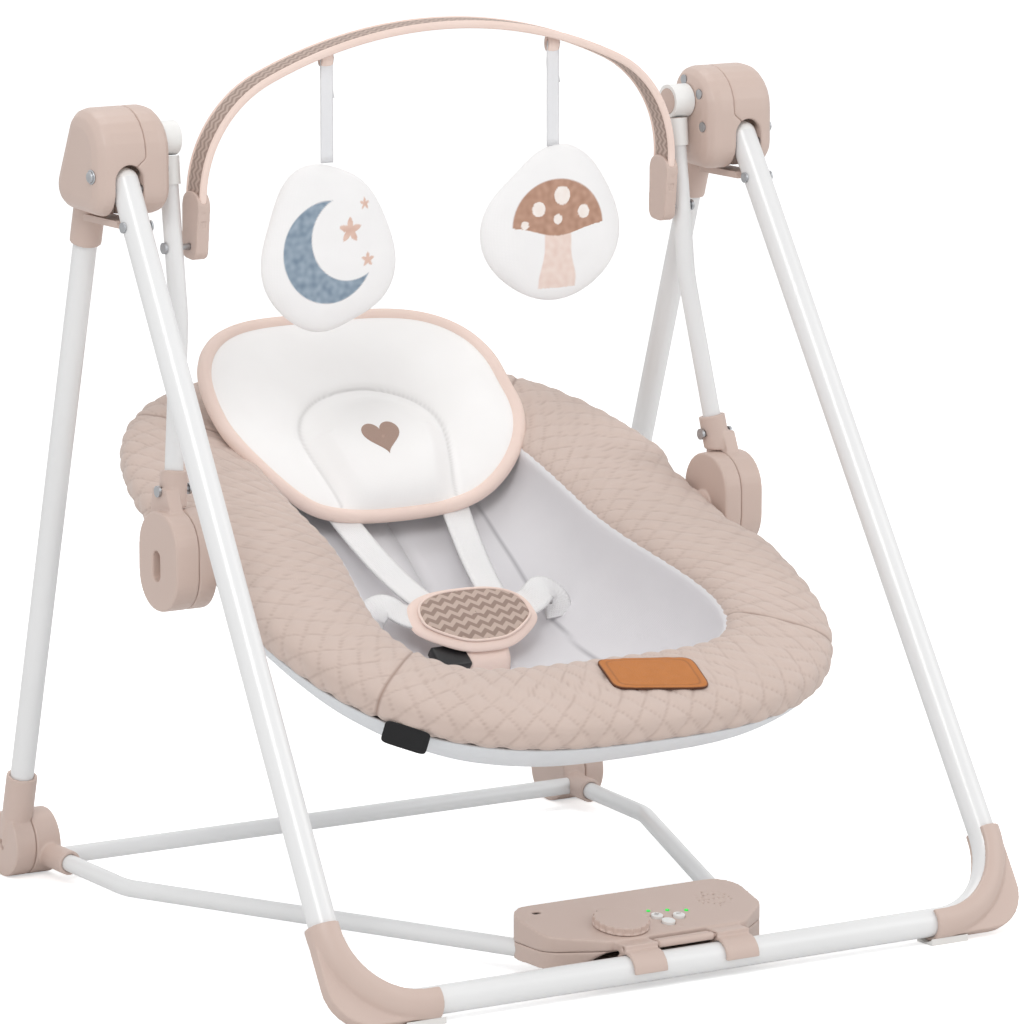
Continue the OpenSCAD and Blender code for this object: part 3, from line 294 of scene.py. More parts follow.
def printed(name, colour, darker):
    """White velboa with a picture printed on it, read from the mesh."""
    material = woven(name, colour, darker, thread=1.2, depth=0.00005, sheen=0.4, roughness=0.95)[0]
    tree = material.node_tree
    main = tree.nodes["Principled BSDF"]
    source = main.inputs["Base Color"].links[0].from_socket
    picture = add(tree, "ShaderNodeAttribute", {"attribute_name": "print"})
    mix = add(tree, "ShaderNodeMix", {"data_type": "RGBA"},
              {0: picture.outputs["Alpha"], 6: source, 7: picture.outputs["Color"]})
    tree.links.new(mix.outputs[2], main.inputs["Base Color"])
    return material


# Toys: the same short white pile, with a watercolour picture
printed_plush = printed("velboa_white_printed", "#fbfafa", "#f3f2f2")
# Status lights: small clear green points
green_lens = lit_lens()
# Patch: warm tan hide with a burnt edge
tan_leather = tanned("leather_vegetable_tanned", "#c27733", "#b26a26", "#5b3113")
# Belly pad and toy bar: taupe chevrons on a paler ground
chevron_cloth = zigzag("cotton_chevron_print", "#c6b1a5", "#9c867b", 0.0045, 0.0055, 0.0045)
band_chevron = zigzag("cotton_band_chevron_print", "#c0aba0", "#a08b81", 0.003, 0.004, 0.0035)


# ---- mesh helpers ----

def object_from(name, points, faces, uvs=None, material=None, closed=True):
    """A smooth mesh piece at the origin, with its faces pointing outwards."""
    mesh = bpy.data.meshes.new(name)
    mesh.from_pydata([tuple(p) for p in points], [], faces)
    if uvs:
        layer = mesh.uv_layers.new(name="UVMap")
        for loop, uv in zip(layer.data, uvs):
            loop.uv = uv
    piece = bpy.data.objects.new(name, mesh)
    bpy.context.scene.collection.objects.link(piece)
    if closed:
        shape = bmesh.new()
        shape.from_mesh(mesh)
        bmesh.ops.recalc_face_normals(shape, faces=shape.faces)
        shape.to_mesh(mesh)
        shape.free()
    mesh.polygons.foreach_set("use_smooth", [True] * len(mesh.polygons))
    if material:
        mesh.materials.append(material)
    return piece


def skin(name, rows, uv, material, tube=False, start=None, end=None, closed=True):
    """A surface through closed rows of points; tube joins the last row to the first."""
    points = [p for row in rows for p in row]
    count, across = len(rows), len(rows[0])
    faces, uvs = [], []
    for i in range(count if tube else count - 1):
        for j in range(across):
            a, b = i * across, (i + 1) % count * across
            k = (j + 1) % across
            faces.append((a + j, a + k, b + k, b + j))
            uvs += [uv(i, j), uv(i, j + 1), uv(i + 1, j + 1), uv(i + 1, j)]
    for pole, row in ((start, 0), (end, count - 1)):
        if pole is not None:
            points.append(pole)
            for j in range(across):
                k = (j + 1) % across
                order = (row * across + k, row * across + j) if row == 0 else \
                    (row * across + j, row * across + k)
                faces.append((*order, len(points) - 1))
                uvs += [uv(row, j)] * 3
    return object_from(name, points, faces, uvs, material, closed)


def piping(name, path, radius, material, closed=True, sides=10, flat=1.0, up=None):
    """A round cord along a path, as sewn round an edge; flat squeezes its section along up."""
    count = len(path)
    rows = []
    for i, here in enumerate(path):
        back = path[(i - 1) % count] if closed or i else here
        ahead = path[(i + 1) % count] if closed or i < count - 1 else here
        along = (ahead - back).normalized()
        level = (up[i] if up else Vector((0, 0, 1)))
        side = along.cross(level).normalized()
        rise = side.cross(along).normalized()
        rows.append([here + side * radius * math.cos(a) + rise * radius * flat * math.sin(a)
                     for a in [2 * math.pi * k / sides for k in range(sides)]])
    run = [0.0]
    for i in range(count):
        run.append(run[-1] + (path[(i + 1) % count] - path[i]).length)
    girth = 2 * math.pi * radius
    return skin(name, rows, lambda i, j: (run[i], girth * j / sides), material, tube=closed,
                start=None if closed else path[0], end=None if closed else path[-1])


def thicken(piece):
    """Gives a sheet of cloth its thickness, on the side away from its face."""
    layer = piece.modifiers.new("thickness", "SOLIDIFY")
    layer.thickness = CLOTH_THICK
    layer.offset = -1.0
    layer.use_even_offset = True
    apply_all(piece)
    return piece


def apply_all(piece):
    bpy.ops.object.select_all(action="DESELECT")
    bpy.context.view_layer.objects.active = piece
    piece.select_set(True)
    for layer in list(piece.modifiers):
        bpy.ops.object.modifier_apply(modifier=layer.name)
    piece.select_set(False)


def mark(piece, name, values):
    """Stores a value a vertex, which a material reads."""
    layer = piece.data.attributes.new(name, "FLOAT", "POINT")
    layer.data.foreach_set("value", values)


def belongs(piece, body, slot, stands_for=False):
    """The piece moves with a body; it may be shown in the stead of the node slot, which is then hidden.
    """
    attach(piece, body)
    if stands_for:
        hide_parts(slot)


def smooth_step(x):
    x = min(max(x, 0.0), 1.0)
    return x * x * (3 - 2 * x)


def power(x, n):
    return math.copysign(abs(x) ** n, x)


def resample(loop, count):
    """Points at even spacing round a closed line."""
    runs = [0.0]
    for i, p in enumerate(loop):
        runs.append(runs[-1] + (loop[(i + 1) % len(loop)] - p).length)
    out, i = [], 0
    for k in range(count):
        goal = runs[-1] * k / count
        while runs[i + 1] < goal:
            i += 1
        share = (goal - runs[i]) / (runs[i + 1] - runs[i])
        out.append(loop[i].lerp(loop[(i + 1) % len(loop)], share))
    return out


# ---- where the seat lies ----

SLOPE = math.radians(20.0)
RING_LIFT = 1.2
RING_SHIFT = -28.0
joint_at = {j["name"]: Vector(j["pos_m"]) for j in frame["joints"] if "pos_m" in j}
hub = joint_at["seat_recline"]


def seat(x, y, z):
    """A point in the seat ring's own plane, in millimetres, as a place in the row frame."""
    along = y + RING_SHIFT
    return Vector((
        x * MM,
        hub.y + (along * math.cos(SLOPE) - z * math.sin(SLOPE)) * MM,
        hub.z + (RING_LIFT + along * math.sin(SLOPE) + z * math.cos(SLOPE)) * MM,
    ))


RIM_HALF_WIDE = 245.8
RIM_HALF_LONG = 290
RIM_SQUARENESS = 0.69
HUB_HALF_WIDE = 232
HUB_Y = 28
BASIN_SQUARENESS = 0.4
BASIN_HALF_LONG = 198.5
BASIN_HALF_WIDE = 122
BASIN_FOOT_FLARE = 31


def rim_outer(turn):
    """The rim's outer edge, drawn in at the hubs."""
    x = RIM_HALF_WIDE * power(math.cos(turn), RIM_SQUARENESS)
    y = RIM_HALF_LONG * power(math.sin(turn), RIM_SQUARENESS)
    limit = HUB_HALF_WIDE + 14 * smooth_step((abs(y - HUB_Y) - 42) / 46)
    return Vector((math.copysign(min(abs(x), limit), x), y))


def rim_inner(turn):
    """The basin's edge, wider towards the foot."""
    y = 6.5 + BASIN_HALF_LONG * power(math.sin(turn), BASIN_SQUARENESS)
    width = BASIN_HALF_WIDE + BASIN_FOOT_FLARE * smooth_step((30 - y) / 170)
    return Vector((width * power(math.cos(turn), BASIN_SQUARENESS), y))


STATIONS = 720
FINE_STEPS = 4 * STATIONS
turns = [math.pi / 2 - 2 * math.pi * k / FINE_STEPS for k in range(FINE_STEPS)]
outer_edge = resample([rim_outer(t) for t in turns], STATIONS)
inner_edge = resample([rim_inner(t) for t in turns], STATIONS)


def perimeter(loop):
    return sum((loop[(i + 1) % len(loop)] - p).length for i, p in enumerate(loop))


QUILT_LONG = 21.0
QUILT_WIDE = 15.0
RIM_SECTION = 96
RIM_RISE = 16.5
RIM_FALL = 14.5
mid_run = perimeter(outer_edge) * 0.6 + perimeter(inner_edge) * 0.4
cells = round(mid_run / QUILT_LONG)
seam_ends = [(Vector((s * 120, 168)), Vector((s * 178, 236))) for s in (-1, 1)] + \
    [(Vector((s * 152, -150)), Vector((s * 216, -222))) for s in (-1, 1)]
seam_at = [min(range(STATIONS), key=lambda k: (inner_edge[k] - a).length + (outer_edge[k] - b).length)
           for a, b in seam_ends]


def seat_rim():
    """The padded ring: diamond quilting puffs between its stitches and sinks at the four seams."""
    loop = []
    for k in range(RIM_SECTION):
        a = 2 * math.pi * k / RIM_SECTION
        height = power(math.sin(a), 0.62)
        loop.append((0.5 - 0.5 * power(math.cos(a), 0.72),
                     1 + (RIM_RISE if height > 0 else RIM_FALL) * height))
    rows, marks = [], []
    for k in range(STATIONS):
        inner, outer = inner_edge[k], outer_edge[k]
        across = outer - inner
        level = across.normalized()
        points = [(inner + across * s, z) for s, z in loop]
        run = [0.0]
        for a, b in zip(points, points[1:]):
            run.append(run[-1] + math.hypot((b[0] - a[0]).length, b[1] - a[1]))
        gap = min(min(abs(k - q), STATIONS - abs(k - q)) for q in seam_at) * mid_run / STATIONS
        seam = math.exp(-(gap / 2.6) ** 2)
        row = []
        for m, (plan, z) in enumerate(points):
            before, after = points[m - 1], points[(m + 1) % len(points)]
            slide, lift = (after[0] - before[0]).dot(level), after[1] - before[1]
            size = math.hypot(slide, lift) or 1
            long, wide = k / STATIONS * cells, run[m] / QUILT_WIDE
            a, b = long + wide * 0.5, long - wide * 0.5
            stitch = abs(math.sin(math.pi * a)) * abs(math.sin(math.pi * b))
            edge = smooth_step(run[m] / 7)
            puff = ((2.0 * stitch ** 0.45 - 1.05) * (1 - seam) - 1.6 * seam) * edge
            spot = plan - level * lift / size * puff
            row.append(seat(spot.x, spot.y, z + slide / size * puff))
            # The stitch mark is painted shade: darker along the quilting stitch grooves, and fully dark
            # where the cover sinks at the four seams.
            line = max(0.0, 1 - min(abs(a - round(a)), abs(b - round(b))) / 0.06)
            marks.append(max(line * 0.4 * edge, smooth_step(1.4 - gap / 1.2)))
        rows.append(row)
    piece = skin("seat_rim_cover", rows,
                 lambda i, j: (i * mid_run / STATIONS * MM, j * 2.6 * MM), quilted, tube=True)
    mark(piece, "stitch", marks)
    return piece


# Painted shade: the rim cover darkens towards #9c8175 in its stitch grooves and seams.
darkened_by(quilted, "stitch", "#9c8175", 0.85)
rim = seat_rim()
belongs(rim, "seat", "seat_rim", stands_for=True)

# ---- basin lining and underside ----

SPINE_FOOT = -85.0
SPINE_HEAD = 140.0
WING_SEAM = 84.0
LINING_TOP = 3.5
UNDERSIDE_TOP = -11.0


def inside_floor(y):
    return -84 + 46 * smooth_step((y + 40) / 230)


def outside_floor(y):
    return inside_floor(y) - 8


def bowl(name, edge, top, floor, plan_power, drop_power, count, ripple, material, lip=()):
    """A cloth bowl from an edge down to the seat's middle line, with its seams marked for painted
    shade.
    """
    rows, spots = [], []
    for r in range(count + 1):
        turn = math.pi / 2 * r / count
        inwards = math.cos(turn) ** plan_power if r < count else 0.0
        row, plan = [], []
        for start in edge[::3]:
            spine = Vector((0, min(max(start.y, SPINE_FOOT), SPINE_HEAD)))
            spot = spine + (start - spine) * inwards
            height = top + (floor(spot.y) - top) * math.sin(turn) ** drop_power
            wave = noise.noise(Vector((spot.x / 46, spot.y / 46, height / 46))) * ripple
            row.append(seat(spot.x, spot.y, height + wave * math.sin(turn)))
            plan.append(spot)
        rows.append(row)
        spots.append(plan)
    rows = list(lip) + rows
    lengths = [0.0]
    for first, second in zip(rows, rows[1:]):
        lengths.append(lengths[-1] + sum((b - a).length for a, b in zip(first, second)) / len(first))
    step = perimeter(edge) / len(edge) * 3 * MM
    piece = skin(name, rows, lambda i, j: (j * step, lengths[i]), material, closed=False)
    marks = [0.0] * (len(lip) * len(rows[0]))
    # Seam mark: a material that reads it paints shade along the wing seams.
    for r, plan in enumerate(spots):
        for spot in plan:
            side = abs(abs(spot.x) - WING_SEAM - 12 * smooth_step(-spot.y / 120))
            marks.append(smooth_step(1.5 - side / 1.3) if r > 3 and -150 < spot.y < 170 else 0.0)
    mark(piece, "seam", marks)
    return piece


# Painted shade: the lining darkens to grey along its seams.
darkened_by(lining_cloth, "seam", "#a9a7ab", 0.8)
up = seat(0, 0, 1) - seat(0, 0, 0)
edge_row = [seat(p.x, p.y, LINING_TOP) for p in inner_edge[::3]]
outer_row = [seat(p.x, p.y, LINING_TOP) for p in outer_edge[::3]]
lip_rows = [[p + up * h + (q - p) * s for p, q in zip(edge_row, outer_row)]
            for s, h in ((0.055, -1.2), (0.045, 1.0), (0.025, 2.2), (0.008, 1.8))]
lining = bowl("basin_lining", inner_edge, LINING_TOP, inside_floor, 0.62, 0.85, 46, 3.0, lining_cloth,
              lip_rows)
thicken(lining)
belongs(lining, "seat", "seat_sling", stands_for=True)

under_edge = [i.lerp(o, 0.93) for i, o in zip(inner_edge, outer_edge)]
underside = bowl("seat_underside", under_edge, UNDERSIDE_TOP, outside_floor, 1.1, 1.35, 40, 2.5,
                 under_cloth)
thicken(underside)
belongs(underside, "seat", "seat_sling")

# ---- pads ----


def pad(name, outline, place, front, back, material, rings=30, spokes=180, crown=3.0, shape=None,
        middle=(0.0, 0.0)):
    """A stuffed pad: crowned on both faces, sewn together along its outline."""
    edge = [outline(2 * math.pi * k / spokes) for k in range(spokes)]
    rows, plan, flat = [], [], []
    cx, cy = middle
    for side, high in ((1, front), (-1, back)):
        steps = range(1, rings + 1) if side == 1 else range(rings - 1, 0, -1)
        for r in steps:
            share = math.sin(math.pi / 2 * r / rings)
            row, spots = [], []
            for x, y in edge:
                px, py = cx + (x - cx) * share, cy + (y - cy) * share
                z = side * high * (1 - share ** crown) ** 0.5
                if shape:
                    z += shape(px, py, side) * (1 - share ** 8)
                row.append(place(px, py, z))
                spots.append((px * MM, py * MM))
                flat.append((px, py, side))
            rows.append(row)
            plan.append(spots)
    tip = shape(cx, cy, 1) if shape else 0
    base = shape(cx, cy, -1) if shape else 0
    flat += [(cx, cy, 1), (cx, cy, -1)]
    piece = skin(name, rows, lambda i, j: plan[i][j % spokes], material,
                 start=place(cx, cy, front + tip), end=place(cx, cy, -back + base))
    return piece, edge, flat


def paint(piece, name, colours):
    """Stores a colour and its cover at each vertex, which a material reads."""
    layer = piece.data.attributes.new(name, "FLOAT_COLOR", "POINT")
    layer.data.foreach_set("color", [v for c in colours for v in c])


TILT = math.radians(46)
INSERT_Y = -7
INSERT_HALF_LONG = 96
INSERT_HALF_WIDE = 134
ARCH_HALF_WIDE = 66
ARCH_SHOULDER = -32
INSERT_MID = (0.0, hub.y / MM + 157, hub.z / MM + 77)


def on_insert(x, y, z):
    """A place on the head insert: x across, y up its slope, z out of its face."""
    bend = 0.00085 * x * x + 8 * smooth_step((abs(x) - 70) / 50) * smooth_step((10 - y) / 70)
    return Vector((
        x * MM,
        (INSERT_MID[1] + y * math.cos(TILT) - (z + bend) * math.sin(TILT)) * MM,
        (INSERT_MID[2] + y * math.sin(TILT) + (z + bend) * math.cos(TILT)) * MM,
    ))


def insert_outline(turn):
    c, s = math.cos(turn), math.sin(turn)
    y = INSERT_Y + INSERT_HALF_LONG * power(s, 0.7)
    width = INSERT_HALF_WIDE - 14 * smooth_step((-y - 10) / 90) - 4 * smooth_step((y - 20) / 70)
    return width * power(c, 0.64), y


def arch_depth(x, y):
    """How far a point lies inside the head cushion's arch, in millimetres."""
    if y > ARCH_SHOULDER:
        return (1 - math.hypot(x / ARCH_HALF_WIDE, (y - ARCH_SHOULDER) / 46)) * 54
    return ARCH_HALF_WIDE - 13 * smooth_step((ARCH_SHOULDER - y) / 72) - abs(x)


def insert_shape(x, y, side):
    if side < 0:
        return 0.0
    inside = arch_depth(x, y)
    swell = 12 * smooth_step(inside / 24)
    groove = -3.0 * math.exp(-(inside / 3.6) ** 2)
    return swell + groove + 1.3 * noise.noise(Vector((x / 40, y / 40, 3.1)))


insert, insert_edge, insert_flat = pad("head_insert_pad", insert_outline, on_insert, 9, 9,
                                       white_plush, rings=70, spokes=320, crown=4.0,
                                       shape=insert_shape, middle=(0, INSERT_Y))
# Painted shade: the plush darkens in the groove round the cushion's arch.
mark(insert, "seam", [math.exp(-(arch_depth(x, y) / 1.6) ** 2) if s > 0 and y > -96 else 0.0
                      for x, y, s in insert_flat])
darkened_by(white_plush, "seam", "#c9c7c6", 0.6)
belongs(insert, "seat", "head_insert", stands_for=True)
BINDING_OUT = 1.012
insert_binding = piping("head_insert_binding",
                        [on_insert(x * BINDING_OUT, INSERT_Y + (y - INSERT_Y) * BINDING_OUT, 0)
                         for x, y in insert_edge],
                        5.8 * MM, peach_binding, sides=14)
belongs(insert_binding, "seat", "head_insert")


MOTIF_DOWN = 41


def heart(name, place, size, thick, material):
    """A plain heart, stitched on; size is its half width in millimetres."""
    edge = []
    for k in range(96):
        t = 2 * math.pi * k / 96
        edge.append((size * math.sin(t) ** 3,
                     size / 16 * (13 * math.cos(t) - 5 * math.cos(2 * t) - 2 * math.cos(3 * t)
                                  - math.cos(4 * t))))
    return pad(name, lambda turn: edge[round(turn / (2 * math.pi) * 96) % 96], place, thick, thick,
               material, rings=16, spokes=96, crown=6.0, middle=(0, -0.1 * size))[0]


def on_cushion(x, y, z):
    """A place on the face of the head cushion, about the motif's middle."""
    y -= MOTIF_DOWN
    share = max(abs(x) / INSERT_HALF_WIDE, abs(y - INSERT_Y) / INSERT_HALF_LONG)
    return on_insert(x, y, 9 * (1 - share ** 4) ** 0.5 + insert_shape(x, y, 1) + z)


motif = heart("head_insert_heart", on_cushion, 17, 0.9, taupe_thread)
belongs(motif, "seat", "head_insert")

# ---- harness ----

BELLY_TILT = math.radians(38)
FACE_LIFT = 6.0


def on_belly(x, y, z):
    """A place on the belly pad: x across, y up its slope, z out of its face."""
    return Vector((
        x * MM,
        hub.y + (-26 + y * math.cos(BELLY_TILT) - z * math.sin(BELLY_TILT)) * MM,
        hub.z + (-66 + y * math.sin(BELLY_TILT) + z * math.cos(BELLY_TILT)) * MM,
    ))


def belly_outline(turn):
    c, s = math.cos(turn), math.sin(turn)
    y = 33 * power(s, 0.75)
    width = 58 - 17 * smooth_step((-y - 2) / 30)
    return width * power(c, 0.75), y


belly = pad("belly_pad", belly_outline, on_belly, 7, 5, peach_binding, rings=26, spokes=160,
            crown=3.5)[0]
belongs(belly, "seat", "harness", stands_for=True)


def belly_centre(turn):
    x, y = belly_outline(turn)
    return x * 0.84, y * 0.8


belly_face, face_edge = pad("belly_pad_face", belly_centre,
                            lambda x, y, z: on_belly(x, y, z + FACE_LIFT), 2.2, 3.0, chevron_cloth,
                            rings=22, spokes=160, crown=3.0)[:2]
belongs(belly_face, "seat", "harness")
belly_cord = piping("belly_pad_piping",
                    [on_belly(x * 1.01, y * 1.01, FACE_LIFT + 0.3) for x, y in face_edge],
                    1.1 * MM, peach_binding, sides=8)
belongs(belly_cord, "seat", "harness")


def strap(name, path, width, thick, material, body, normal, slot):
    """A flat webbing strap along a path; normal says which way its face looks."""
    rows = []
    count = len(path)
    run = [0.0]
    for a, b in zip(path, path[1:]):
        run.append(run[-1] + (b - a).length)
    for i, here in enumerate(path):
        along = (path[min(i + 1, count - 1)] - path[max(i - 1, 0)]).normalized()
        side = along.cross(normal).normalized()
        face = side.cross(along).normalized()
        row = []
        for s in range(9):
            row.append(here + side * width * (s / 8 - 0.5) + face * thick / 2)
        for s in range(9):
            row.append(here + side * width * (0.5 - s / 8) - face * thick / 2)
        rows.append(row)
    piece = skin(name, rows, lambda i, j: (width * (j % 18) / 8, run[i]), material,
                 start=path[0], end=path[-1])
    belongs(piece, body, slot)
    return piece


def sag(a, b, drop):
    """A slack line from a to b."""
    count = 24
    return [a.lerp(b, k / count) - Vector((0, 0, drop * 4 * (k / count) * (1 - k / count)))
            for k in range(count + 1)]


def smooth_path(points):
    """A curve through a few points."""
    steps = 10
    out = []
    for i in range(len(points) - 1):
        p = [points[max(i - 1, 0)], points[i], points[i + 1], points[min(i + 2, len(points) - 1)]]
        for k in range(steps):
            t = k / steps
            out.append(0.5 * (2 * p[1] + (p[2] - p[0]) * t
                              + (2 * p[0] - 5 * p[1] + 4 * p[2] - p[3]) * t * t
                              + (3 * p[1] - p[0] - 3 * p[2] + p[3]) * t ** 3))
    return out + [points[-1]]


STRAP = 25 * MM
OUT_OF_SEAT = Vector((0, -0.6, 0.8))
for side, word in SIDES:
    line = sag(on_insert(side * 54, -92, -5), on_belly(side * 32, 26, -3), 0.006)
    strap(f"shoulder_strap_{word}", line, STRAP, 1.6 * MM, white_webbing, "seat", OUT_OF_SEAT,
          "harness")
    waist = smooth_path([on_belly(side * 44, 8, -3), on_belly(side * 60, 12, 2),
                         on_belly(side * 74, 20, 5), on_belly(side * 86, 16, -2),
                         on_belly(side * 88, 4, -14)])
    strap(f"waist_strap_{word}", waist, STRAP, 1.6 * MM, white_webbing, "seat", OUT_OF_SEAT,
          "harness")
stem = smooth_path([on_belly(0, -22, -3), on_belly(0, -36, -8), on_belly(0, -44, -24)])
strap("crotch_stem", stem, 38 * MM, 4 * MM, peach_binding, "seat", OUT_OF_SEAT, "harness")


def hard_piece(piece, name, rounding, segments, place, material, body, slot):
    """Names a new primitive, rounds its edges, sets it in its place and gives it its finish."""
    piece.name = name
    edge = piece.modifiers.new("edge", "BEVEL")
    edge.limit_method = "ANGLE"
    edge.width = rounding * MM
    edge.segments = segments
    apply_all(piece)
    piece.data.transform(place)
    piece.data.materials.append(material)
    bpy.ops.object.select_all(action="DESELECT")
    bpy.context.view_layer.objects.active = piece
    piece.select_set(True)
    bpy.ops.object.shade_smooth_by_angle(angle=math.radians(40))
    piece.select_set(False)
    belongs(piece, body, slot)


def block(name, size, place, turn, rounding, material, body, slot):
    """A rounded block of moulded plastic, its size in millimetres, modelled from a cube."""
    bpy.ops.object.select_all(action="DESELECT")
    bpy.ops.mesh.primitive_cube_add(size=1)
    piece = bpy.context.active_object
    piece.data.transform(Matrix.Diagonal((*[v * MM for v in size], 1)))
    hard_piece(piece, name, rounding, 4, Matrix.Translation(place) @ turn, material, body, slot)


LEVEL = Matrix.Identity(4)
belly_turn = Matrix.Rotation(BELLY_TILT, 4, "X")
block("harness_buckle", (30, 22, 10), on_belly(-33, -30, -8), belly_turn, 2.5, black_abs, "seat",
      "harness")



def screw_head(name, place, radius, depth, material, body, slot):
    """A domed screw head that faces along X, modelled from a cylinder; sizes in millimetres."""
    bpy.ops.object.select_all(action="DESELECT")
    bpy.ops.mesh.primitive_cylinder_add(vertices=64, radius=radius * MM, depth=depth * MM)
    hard_piece(bpy.context.active_object, name, min(0.46 * depth, 0.3 * radius), 6,
               Matrix.Translation(place) @ Matrix.Rotation(math.pi / 2, 4, "Y"), material, body,
               slot)


SCREW_Y = 62.5 * MM
SCREW_Z = 594.8 * MM
for side, word in SIDES:
    shell = frame["nodes"][f"housing_outer_{word}"]
    face = max(side * v.co.x for v in shell.data.vertices)
    for part, radius, depth, out in (("collar", 5.8, 1.6, -0.2), ("head", 4.5, 3.6, 0.6)):
        screw_head(f"housing_screw_{part}_{word}",
                   Vector((side * (face + out * MM), SCREW_Y, SCREW_Z)),
                   radius, depth, zinc, body_of(shell)[0], "frame_screws")

# ---- patch and tag on the rim ----

rim_tree = BVHTree.FromPolygons([v.co for v in rim.data.vertices],
                                [tuple(f.vertices) for f in rim.data.polygons])


def on_rim(x, y, lift):
    """The rim's upper surface over a point of the seat's plane, and lift millimetres above it."""
    hit = rim_tree.ray_cast(seat(x, y, 60), -up.normalized())
    return (hit[0] if hit[0] else seat(x, y, 0)) + up * lift


PATCH_TURN = math.radians(-11)
PATCH_HALF = (40.0, 23.0)
PATCH_MID = (20, -236)


def patch_point(u, v, lift):
    """The leather is stiff, so it lies on the swells of the quilting and spans its stitches."""
    x = PATCH_MID[0] + u * math.cos(PATCH_TURN) - v * math.sin(PATCH_TURN)
    y = PATCH_MID[1] + u * math.sin(PATCH_TURN) + v * math.cos(PATCH_TURN)
    heights = sorted((on_rim(x + across, y + along, 0) - seat(x + across, y + along, 0)).dot(up)
                     / up.length_squared for across in (-8, 0, 8) for along in (-8, 0, 8))
    return seat(x, y, 0) + up * (sum(heights[4:]) / 5 + lift)




def rounded_box(turn, half):
    """A point on the outline of a rounded rectangle, from its half sizes."""
    return (half[0] * power(math.cos(turn), 0.28), half[1] * power(math.sin(turn), 0.28))


def flat_patch(name, half, place, thick, material):
    """A thin sheet cut to a rounded rectangle, laid on what is under it, with its edge marked."""
    rings, spokes = 26, 160
    rows, plan, marks = [], [], []
    edge = [rounded_box(2 * math.pi * k / spokes, half) for k in range(spokes)]
    for lift, steps in ((thick, range(1, rings + 1)), (0.0, range(rings, 0, -1))):
        for r in steps:
            share = r / rings
            drop = 0.35 * smooth_step((share - 0.94) / 0.06) if lift else 0
            groove = 0.3 * math.exp(-((share - 0.86) / 0.02) ** 2) if lift else 0
            rows.append([place(x * share, y * share, lift - drop - groove) for x, y in edge])
            plan.append([(x * share * MM, y * share * MM) for x, y in edge])
            marks += [smooth_step((share - 0.965) / 0.03) + 0.35 * (groove > 0.1)] * spokes
    marks += [0.0, 0.0]
    piece = skin(name, rows, lambda i, j: plan[i][j % spokes], material,
                 start=place(0, 0, thick), end=place(0, 0, 0))
    mark(piece, "edge", marks)
    return piece


patch = flat_patch("leather_patch", PATCH_HALF, lambda u, v, w: patch_point(u, v, w + 0.6), 1.8,
                   tan_leather)
belongs(patch, "seat", "seat_rim")

tag_k = min(range(STATIONS), key=lambda k: (outer_edge[k] - Vector((-196, -238))).length)
tag_root = outer_edge[tag_k]
tag_side = (outer_edge[tag_k + 12] - outer_edge[tag_k - 12]).normalized()
tag_out = Vector((tag_side.y, -tag_side.x))
if tag_out.dot(tag_root) < 0:
    tag_out = -tag_out


def on_tag(u, v, lift):
    """The tag hangs from the rim's lower seam, outwards and down."""
    bend = 0.5 * smooth_step(v / 22)
    spot = tag_root + tag_side * u + tag_out * (0.5 + v * 0.34 + lift + bend)
    return seat(spot.x, spot.y, -3 - v * 0.94)


TAG_HALF = (18, 8.5)
tag = flat_patch("side_tag", TAG_HALF, lambda u, v, w: on_tag(u, TAG_HALF[1] - v, w), 1.0, black_weave)
belongs(tag, "seat", "seat_rim")

# ---- toy bar and toys ----

BAND_LEAN = math.radians(3.9)
BAND_SPRING = 41.0
BAND_RISE = 162.0
BAND_SIDE = 95.0
BAND_IN_CLIP = 13.0
BAND_WIDE = 24.0
BAND_THICK = 4.5
bar_at = joint_at["toy_bar_tilt"]
band_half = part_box("toy_bar_band")[1].x / MM - BAND_THICK / 2
band_top = BAND_RISE - BAND_SPRING
band_radius = ((band_half - BAND_SIDE) ** 2 + band_top ** 2 - BAND_SIDE ** 2) \
    / (2 * (band_top - BAND_SIDE))
side_arc = math.atan2(band_radius - band_top, band_half - BAND_SIDE)


def on_bar(x, y, z):
    """A place on the toy bar, from the middle between its clips: z runs up the arch."""
    return Vector((
        x * MM,
        bar_at.y + (y * math.cos(BAND_LEAN) - z * math.sin(BAND_LEAN)) * MM,
        bar_at.z + (y * math.sin(BAND_LEAN) + z * math.cos(BAND_LEAN)) * MM,
    ))


def band_line():
    """Half of the band's middle line, from its foot to its top, with its outward direction."""
    line = [((band_half, BAND_SPRING - BAND_IN_CLIP * (1 - k / 6)), (1.0, 0.0)) for k in range(6)]
    for k in range(36):
        a = side_arc * k / 36
        line.append(((band_half - BAND_SIDE + BAND_SIDE * math.cos(a),
                      BAND_SPRING + BAND_SIDE * math.sin(a)), (math.cos(a), math.sin(a))))
    for k in range(61):
        a = side_arc + (math.pi / 2 - side_arc) * k / 60
        line.append(((band_radius * math.cos(a),
                      BAND_RISE - band_radius + band_radius * math.sin(a)), (math.cos(a), math.sin(a))))
    return line


half_line = band_line()
whole_line = half_line + [((-x, z), (-u, w)) for (x, z), (u, w) in reversed(half_line[:-1])]


def band_sweep(name, section, material):
    """Sweeps a section, given as width and depth in millimetres, along the bar's arch."""
    rows, run = [], [0.0]
    for (x, z), (u, w) in whole_line:
        rows.append([on_bar(x + u * d, v, z + w * d) for v, d in section])
    for first, second in zip(rows, rows[1:]):
        run.append(run[-1] + (second[0] - first[0]).length)
    (x0, z0), (x1, z1) = whole_line[0][0], whole_line[-1][0]
    piece = skin(name, rows, lambda i, j: (run[i], section[j % len(section)][0] * MM),
                 material, start=on_bar(x0, section_mid(section), z0),
                 end=on_bar(x1, section_mid(section), z1))
    belongs(piece, "toy_bar", "toy_bar_band")
    return piece


def section_mid(section):
    return sum(v for v, d in section) / len(section)


def oval(mid, half, deep, steps, corner):
    return [(mid + half * power(math.cos(2 * math.pi * k / steps), corner),
             deep * power(math.sin(2 * math.pi * k / steps), corner)) for k in range(steps)]


